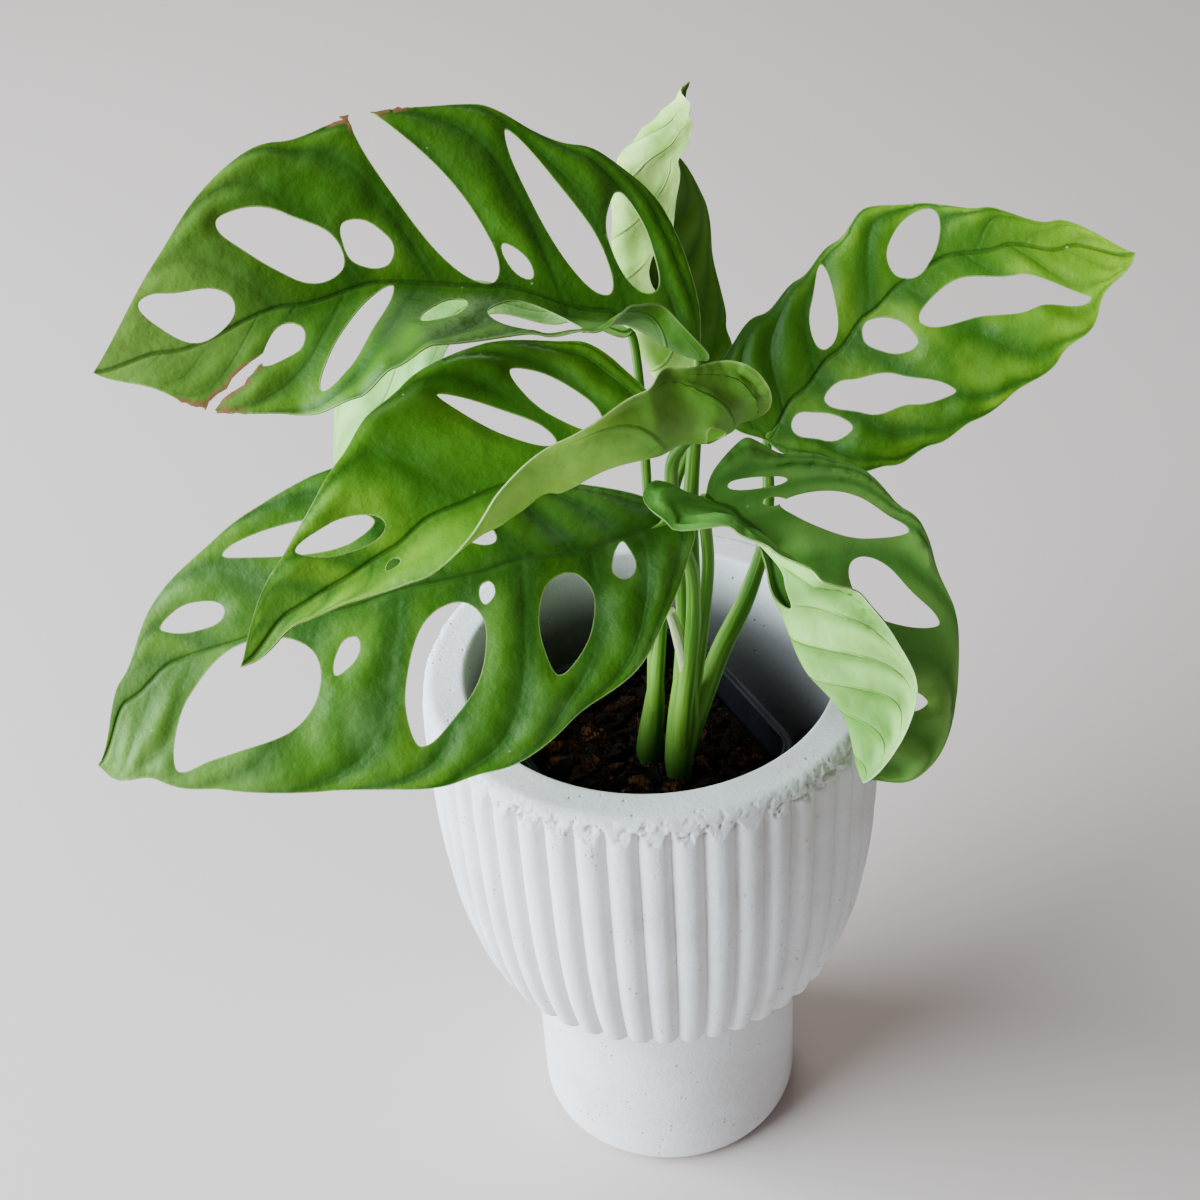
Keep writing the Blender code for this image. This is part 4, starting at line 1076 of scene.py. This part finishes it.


# Upper left blade: the largest leaf, facing the viewer, with two slits torn through to its margin
# and its near half standing up from the rib.
grow_blade(
    "leaf_upper_left", (19, 4, 304), (-141, -30, 331), (0.26, -0.59, 0.77),
    [(0, 0), (27, -13), (55, -21), (87, -23), (112, -17), (146, -5), (165, 0)],
    [(0, 0), (2, 14), (14, 24), (30, 29), (45, 31), (60, 33), (75, 37), (88, 40), (100, 38), (116, 32),
     (128, 26), (139, 18), (154, 7), (165, 0)],
    [(0, 0), (-1, 14), (2, 34), (7, 46), (18, 50), (38, 52), (55, 56), (72, 54), (89, 51),
     (105, 49), (122, 47), (136, 40), (148, 24), (158, 10), (165, 0)],
    [(36, -27, 50, 13, -63), (49.5, -8, 11, 6, -50), (16, -25, 30, 13, -88), (74, -28, 64, 17, -57, 0.3),
     (114, -19, 41, 15, -38), (91, -12, 18, 11, -50), (140, -9, 27, 13, -25), (116, 11, 14, 9, 40),
     (131, 17, 26, 3.6, 24), (96, 15, 36, 9, 51, -0.3), (73, 13, 20, 7, 45), (49, 17, 23, 24, 80)],
    left_fold=[(0, 55), (20, 50), (35, 40), (50, 34), (80, 34), (91, 28), (100, 20), (116, 8)],
    left_edge=[(0, 150), (14, 150), (25, 115), (38, 75), (50, 58), (80, 52), (91, 42), (100, 28), (116, 10)],
    torn=[(92, -52, 9), (80, -56, 9), (143, 20, 9), (138, 22, 8), (131, 17, 12)], seed=1.0,
    upper={"Yellowing": 0.35, "Painted sheen": 0.08, "Tip": (0.26, 0.47, 0.07), "Tip share": 0.9},
    under={"Pale": (0.09, 0.25, 0.015), "Shade": (0.04, 0.15, 0.005), "Base": (0.05, 0.17, 0.006),
           "Rib": (0.09, 0.25, 0.02), "Edge": (0.30, 0.46, 0.14)})


# Centre blade: a leaf folded up along its rib, so that its near half shows a bright yellow-green
# underside.
grow_blade(
    "leaf_centre", (16, -22, 296), (-106, -85, 275), (0.12, -0.51, 0.85),
    [(0, 0), (16, -5), (39, -9), (64, -11.5), (76, -12.5), (90, -9.5), (106, -8), (120, -7), (139, 0)],
    [(0, 0), (-12, 7), (-16, 20), (-11, 33), (4, 40), (20, 41), (37, 40), (57, 37), (71, 30), (86, 19),
     (104, 10), (120, 5), (130, 3), (139, 0)],
    [(0, 0), (6, 12), (12, 30), (22, 36), (34, 40), (45, 42), (58, 40), (69, 36), (81, 32), (95, 26),
     (110, 17), (121, 11), (132, 6), (139, 0)],
    [(30, -18.5, 27, 11, -62), (47, -18.5, 33, 7, -51), (100, -10, 25, 9, -15), (92, 4.5, 5, 3, 20),
     (30, 14, 32, 12, 8), (2, 16, 12, 5, 70)],
    left_fold=[(0, 20), (45, 20), (64, 5), (80, 5), (94, 20), (108, 30), (130, 30)],
    left_edge=[(-10, 185), (7, 165), (19, 140), (37, 125), (64, 132), (80, 108), (94, 80), (130, 80)],
    puff=1.7, seed=2.0,
    upper={"Deep": (0.030, 0.120, 0.002), "Fresh": (0.075, 0.225, 0.006), "Yellow": (0.16, 0.34, 0.010),
           "Yellowing": 0.7, "Painted sheen": 0.05, "Tip share": 0.2, "Left glow": 0.3},
    # The underside's pale yellow-green is painted brighter, as if lit through from behind.
    under={"Pale": (0.36, 0.76, 0.07), "Shade": (0.10, 0.33, 0.012), "Rib": (0.09, 0.28, 0.02),
           "Edge": (0.50, 0.68, 0.22), "Base": (0.13, 0.32, 0.025), "Base reach": 0.25})


# Lower left blade: the large drooping leaf that covers the planter's left side, deep green above.
grow_blade(
    "leaf_lower_left", (7, -30, 271), (-152, -75, 236), (0.02, -0.66, 0.75),
    [(0, 0), (20, -1), (48, -7), (82, -12), (116, -16), (140, -18), (155, -13), (169, 0)],
    [(0, 0), (-5, 5), (0, 12), (10, 23), (21, 33), (32, 40), (45, 46), (64, 54), (76, 55), (90, 54),
     (119, 46), (140, 38), (155, 24), (165, 9), (169, 0)],
    [(0, 0), (0, 6), (6, 14), (17, 22), (30, 30), (50, 38), (80, 40), (91, 39), (106, 34), (121, 28),
     (133, 22), (144, 14), (155, 6), (169, 0)],
    [(127, 17, 48, 26, 18), (131, -10, 18, 8, 0), (96, -23, 42, 10, -4), (96.5, 13, 13, 5, 45),
     (74, 25, 44, 18, 52), (54.5, 6, 7, 4, 60), (38, 20, 32, 13, 62), (16.5, 6, 11, 6, 70, -0.4),
     (54, -17, 24, 8, -52)],
    right_fold=[(0, -40), (30, -40), (60, -10), (80, 0)],
    seed=3.0,
    upper={"Deep": (0.016, 0.078, 0.001), "Fresh": (0.050, 0.165, 0.004), "Rib": (0.02, 0.085, 0.002),
           "Yellowing": 0.5, "Painted sheen": 0.4, "Pale veins and vein shade": 0.2})


# Right blade: a leaf held up at the upper right, with wide holes and yellower patches towards its
# margin.
grow_blade(
    "leaf_right", (39, 24, 259), (152, 40, 306), (-0.14, -0.71, 0.69),
    [(0, 0), (15, 8), (30, 14), (44, 20), (58, 24), (71, 25), (88, 20), (104, 11), (121, 0)],
    [(0, 0), (-7, 8), (-6, 20), (2, 29), (19, 26), (31, 25), (47, 24), (58, 25), (70, 19), (85, 14),
     (98, 10), (112, 7), (121, 0)],
    [(0, 0), (4, 9), (12, 20), (22, 33), (36, 41), (51, 46), (67, 47), (83, 41), (97, 30), (108, 16),
     (116, 6), (121, 0)],
    [(33, 12.5, 22, 9, 63), (66, 8.5, 22, 14, 35), (80, -15, 47, 13, -5), (47, -10, 20, 9, -52),
     (39, -22, 46, 9, -40), (17, -13, 23, 7, -47)],
    seed=4.0,
    upper={"Deep": (0.026, 0.108, 0.002), "Fresh": (0.058, 0.185, 0.004), "Yellow": (0.18, 0.37, 0.012),
           "Tip": (0.26, 0.48, 0.01), "Yellowing": 0.8, "Painted sheen": 0.05})


# Drooping blade: a leaf that hangs over the planter's right rim, with one half folded over to show
# its pale underside and ridged rib.
grow_blade(
    "leaf_drooping", (17, -24, 274), (60, -58, 194), (0.29, -0.81, 0.50),
    [(0, 0), (9, 6), (19, 9), (37, 4.5), (57, 2), (75, 5), (97, 0)],
    [(0, 0), (-5, 6), (-8, 17), (-5, 21), (4, 26), (11, 31), (20, 36), (32, 43), (41, 48), (51, 49),
     (65, 46), (78, 40), (91, 35), (99, 28), (104, 19), (104, 9), (97, 0)],
    [(0, 0), (-4, 4), (-9, 7), (-12, 11), (-9, 16), (0, 17), (10, 18), (20, 22), (32, 28), (46, 33),
     (60, 33), (74, 29), (86, 21), (94, 10), (97, 0)],
    [(28, 27, 44, 10, 50), (55, 30, 34, 13, 25), (85, 20, 11, 5, 60), (12, 10, 6, 3, 60),
     (5, 12, 13, 5, 52), (29, -8, 20, 10, 0)],
    right_fold=[(-12, 0), (0, 30), (7, 70), (18, 78), (30, 92), (42, 107), (60, 115), (97, 120)],
    right_edge=[(-12, 0), (0, 35), (7, 74), (18, 87), (30, 117), (42, 137), (60, 150), (97, 150)],
    right_reach=30.0, puff=2.2, seed=5.0,
    upper={"Deep": (0.100, 0.330, 0.040), "Fresh": (0.220, 0.540, 0.090), "Yellow": (0.28, 0.54, 0.06),
           "Yellowing": 0.3, "Painted sheen": 0.2, "Pale veins and vein shade": 0.5, "Tip share": 0.2},
    under={"Pale": (0.36, 0.72, 0.15), "Shade": (0.07, 0.26, 0.012), "Rib": (0.24, 0.52, 0.05)})


# Young blade: the narrow leaf that stands upright at the top, still half rolled and pale beneath.
grow_blade(
    "leaf_young", (18, 46, 264), (22, 64, 357), (0.31, -0.94, 0.17),
    [(0, 0), (10, 9), (20, 15), (45, 19.5), (61, 19.5), (74, 17.5), (81, 12.5), (86, 7), (91, 2), (95, 0)],
    [(0, 0), (4, 14), (15, 26), (30, 27), (50, 27), (64, 28), (74, 27), (82, 21), (88, 12), (92, 5), (95, 0)],
    [(0, 0), (2, 11), (9, 21), (18, 27), (30, 28), (43, 28), (54, 27), (62, 24), (70, 18), (78, 10),
     (86, 4), (91, 1), (95, 0)],
    [(42, 22, 12, 4, 0)],
    lift=[(0, 0), (40, -4), (75, -4), (95, 0)],
    left_fold=[(0, 0), (74, 0), (84, 60), (92, 110)], left_edge=[(0, 165)], left_reach=15.0,
    wave=0.2, seed=6.0,
    upper={"Deep": (0.06, 0.19, 0.006), "Fresh": (0.13, 0.34, 0.02)},
    under={"Pale": (0.58, 0.90, 0.22), "Shade": (0.18, 0.46, 0.02)})


# Back blade: a small pale leaf behind the others, seen through their holes.
grow_blade(
    "leaf_back", (1, 34, 294), (-89, 3, 268), (-0.20, -0.20, 0.96),
    [(0, 0), (15, -8), (40, -17), (60, -14), (80, -5), (98, 0)],
    [(0, 0), (5, 4), (15, 6), (30, 6), (45, 7), (52, 10), (60, 17), (72, 19), (86, 10), (98, 0)],
    [(0, 0), (3, 5), (12, 9), (30, 11), (52, 11), (70, 18), (84, 22), (92, 13), (98, 0)],
    [(66, -6, 11, 5, -50)],
    lift=[(0, 0), (18, 13), (37, 22), (57, 22), (78, 13), (98, 0)],
    left_edge=[(0, -40)], right_edge=[(0, -25)],
    seed=7.0,
    upper={"Deep": (0.20, 0.46, 0.08), "Fresh": (0.36, 0.70, 0.20), "Rib": (0.32, 0.56, 0.18),
           "Yellowing": 0.2, "Painted sheen": 0.3})


# Stalks: firm green stems with a shallow channel, sheathed at the foot. They rise from two short
# stems in the mix, and each runs on into the ridge under its blade's rib.
STALK_SIDES = 20
STALK_STEP = 1.2
FOOT_SHADE_TOP = 206.0
STALK_TIP = 1.35
# Where a stalk goes under its blade: the place along the rib, its radius and its depth.
RUN_ON = ((0.5, STALK_TIP, STALK_TIP * 0.8), (3.0, 1.0, 0.5), (7.0, 0.5, 0.5))


def tube_mesh(name, rows, channel):
    """A round stem through points that each carry a radius, with a channel down one side."""
    path = spline([row[:3] for row in rows], 10)
    radii = spline([(row[3],) for row in rows], 10)[:, 0]
    both = even_points(np.column_stack([path, radii]), STALK_STEP)
    path, radii = both[:, :3], both[:, 3]
    ahead = np.gradient(path, axis=0)
    ahead /= np.linalg.norm(ahead, axis=1)[:, None]
    across = np.array((0.0, -1.0, 0.0))
    verts = []
    around = []
    for k in range(len(path)):
        across = across - ahead[k] * across.dot(ahead[k])
        across = across / np.linalg.norm(across)
        other = np.cross(ahead[k], across)
        depth = channel * math.exp(-3.0 * k / len(path))
        for j in range(STALK_SIDES):
            a = math.tau * j / STALK_SIDES
            dent = depth * math.exp(-(math.sin(a / 2 - 0.9) / 0.22) ** 2) + 0.02 * math.cos(3 * a + 0.05 * k)
            verts.append(path[k] + (across * math.cos(a) + other * math.sin(a)) * radii[k] * (1.0 - dent))
            around.append((math.cos(a), math.sin(a), 0.02 * k))
    mesh = build_mesh(name, verts, ring_faces(len(path), STALK_SIDES), sharp=60)
    mesh.attributes.new("around", "FLOAT_VECTOR", "POINT").data.foreach_set("vector", np.ravel(around))
    return mesh


def make_stem_group():
    """Stem skin: fine lengthwise streaks, painted shade that makes them darker and greener at the foot, a
    little sheen.
    """
    skin = Skin("stem_skin", {"Light": (0.18, 0.38, 0.035), "Dark": (0.05, 0.175, 0.008),
                              "Foot": (0.006, 0.032, 0.002)})
    given = skin.given
    around = skin.value("around", "Vector")
    streak = skin.cloud(7.0, 3.0, around)
    wide = skin.cloud(1.6, 1.0, around)
    height = put(skin.tree, "SeparateXYZ", {0: skin.place}).outputs["Z"]
    tone = skin.tint(given["Dark"], given["Light"], skin.fade(wide, 0.35, 0.65))
    tone = skin.tint(tone, given["Light"], skin.fade(streak, 0.5, 0.75, 0.0, 0.4))
    # Painted shade: the stems darken towards their foot in the mix.
    tone = skin.tint(tone, given["Foot"], skin.drop(height, SOIL_TOP * MM, FOOT_SHADE_TOP * MM), 0.95)
    return skin.finish(tone, skin.fade(streak, 0.3, 0.7, 0.48, 0.60), streak)


stem_group = make_stem_group()


def stem_material(name, looks=None):
    return surface_material(name, stem_group, looks, specular=0.28, bump=0.0003, strength=0.5)


def grow_stem(name, node, rows, material, channel=0.12):
    piece = add_object(name, tube_mesh(name, rows, channel), material)
    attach(piece, "root")
    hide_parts(node)


def grow_stalk(leaf, node, rows):
    """A stalk that ends under its blade's base and runs on a little way under the rib."""
    blade = blades[leaf]
    ends = []
    for x, radius, below in RUN_ON:
        rib = blade.place(np.array([[x, 0.0]]))[0]
        ends.append((*(rib - blade.face * (BLADE_THICKNESS / 2 + below)), radius))
    grow_stem(leaf.replace("leaf", "stalk"), node, rows + ends, fresh_stem)


STEM_FOOT = 154.0
fresh_stem = stem_material("fresh_stem")
grow_stem("stem_front", "stalks_front",
          [(7.0, -19.5, STEM_FOOT, 3.4), (7.0, -19.5, 163.0, 3.8), (7.3, -19.2, 172.0, 4.6),
           (9.0, -17.0, 185.0, 4.9), (10.0, -15.5, 197.0, 4.0), (11.0, -14.5, 209.0, 2.6)], fresh_stem, 0.25)
grow_stem("stem_left", "stalks_left",
          [(-1.5, -10.0, STEM_FOOT, 4.0), (-1.5, -10, 163, 4.2), (-1.4, -9.9, 170, 4.2),
           (0.5, -8.5, 183, 3.5), (1.5, -7.5, 192, 2.6)], fresh_stem, 0.2)
grow_stalk("leaf_centre", "stalks_front",
           [(8, -18, 177, 3), (9, -15.5, 197, 2.8), (10.5, -14, 222, 2.3), (10, -14, 247, 2.1),
            (8.5, -15, 267, 2), (9, -18, 283, 1.9)])
grow_stalk("leaf_upper_left", "stalks_front",
           [(9, -17, 177, 3), (11.5, -13.5, 202, 2.9), (13.5, -9, 229, 2.6), (14, -5, 255, 2.4),
            (16, -1.5, 277, 2), (17.5, 1, 291, 1.8)])
grow_stalk("leaf_drooping", "stalks_front",
           [(9, -17, 179, 2.6), (13, -13, 197, 2.4), (16, -12, 217, 2.1), (18.3, -12, 240, 1.9),
            (17.5, -16.5, 259, 1.8)])
grow_stalk("leaf_right", "stalks_front",
           [(9, -18, 173, 3.2), (14, -13, 185, 3.3), (22, -3.5, 200.5, 3.2), (31, 6, 213, 2.8),
            (37.5, 14, 228, 2.1), (39.5, 20, 243, 1.9)])
grow_stalk("leaf_lower_left", "stalks_front",
           [(7.5, -20, 173, 3.2), (9, -20.5, 192, 2.8), (11.5, -21.5, 214, 2.5), (13, -24, 235, 2.2),
            (12, -27, 254, 1.9)])
grow_stalk("leaf_back", "stalks_left",
           [(-0.5, -9, 173, 2.2), (1, -6.5, 197, 2), (2, -2.5, 223, 1.7), (2.2, 4, 247, 1.5),
            (2.2, 13, 267, 1.5), (2, 25, 283, 1.4)])
grow_stalk("leaf_young", "stalks_left",
           [(-0.5, -10, 173, 2.6), (2, -8, 197, 2.3), (4.5, -2, 217, 1.9), (6.5, 12, 231, 1.7),
            (11.5, 29, 240, 1.6), (17, 41, 249, 1.5)])


# Sheath stub: the pale, dry cut end of an old leaf's sheath, a thin tube that grows on the front
# of the front clump.
pale_stem = stem_material("pale_sheath", {"Light": (0.52, 0.62, 0.30), "Dark": (0.24, 0.38, 0.10)})
grow_stem("sheath_stub", "stalks_front",
          [(10.5, -20.5, 203, 1.8), (9.6, -21, 213, 1.9), (8, -21.5, 224, 1.8), (6.2, -22.3, 233, 1.5)],
          pale_stem, 0.2)
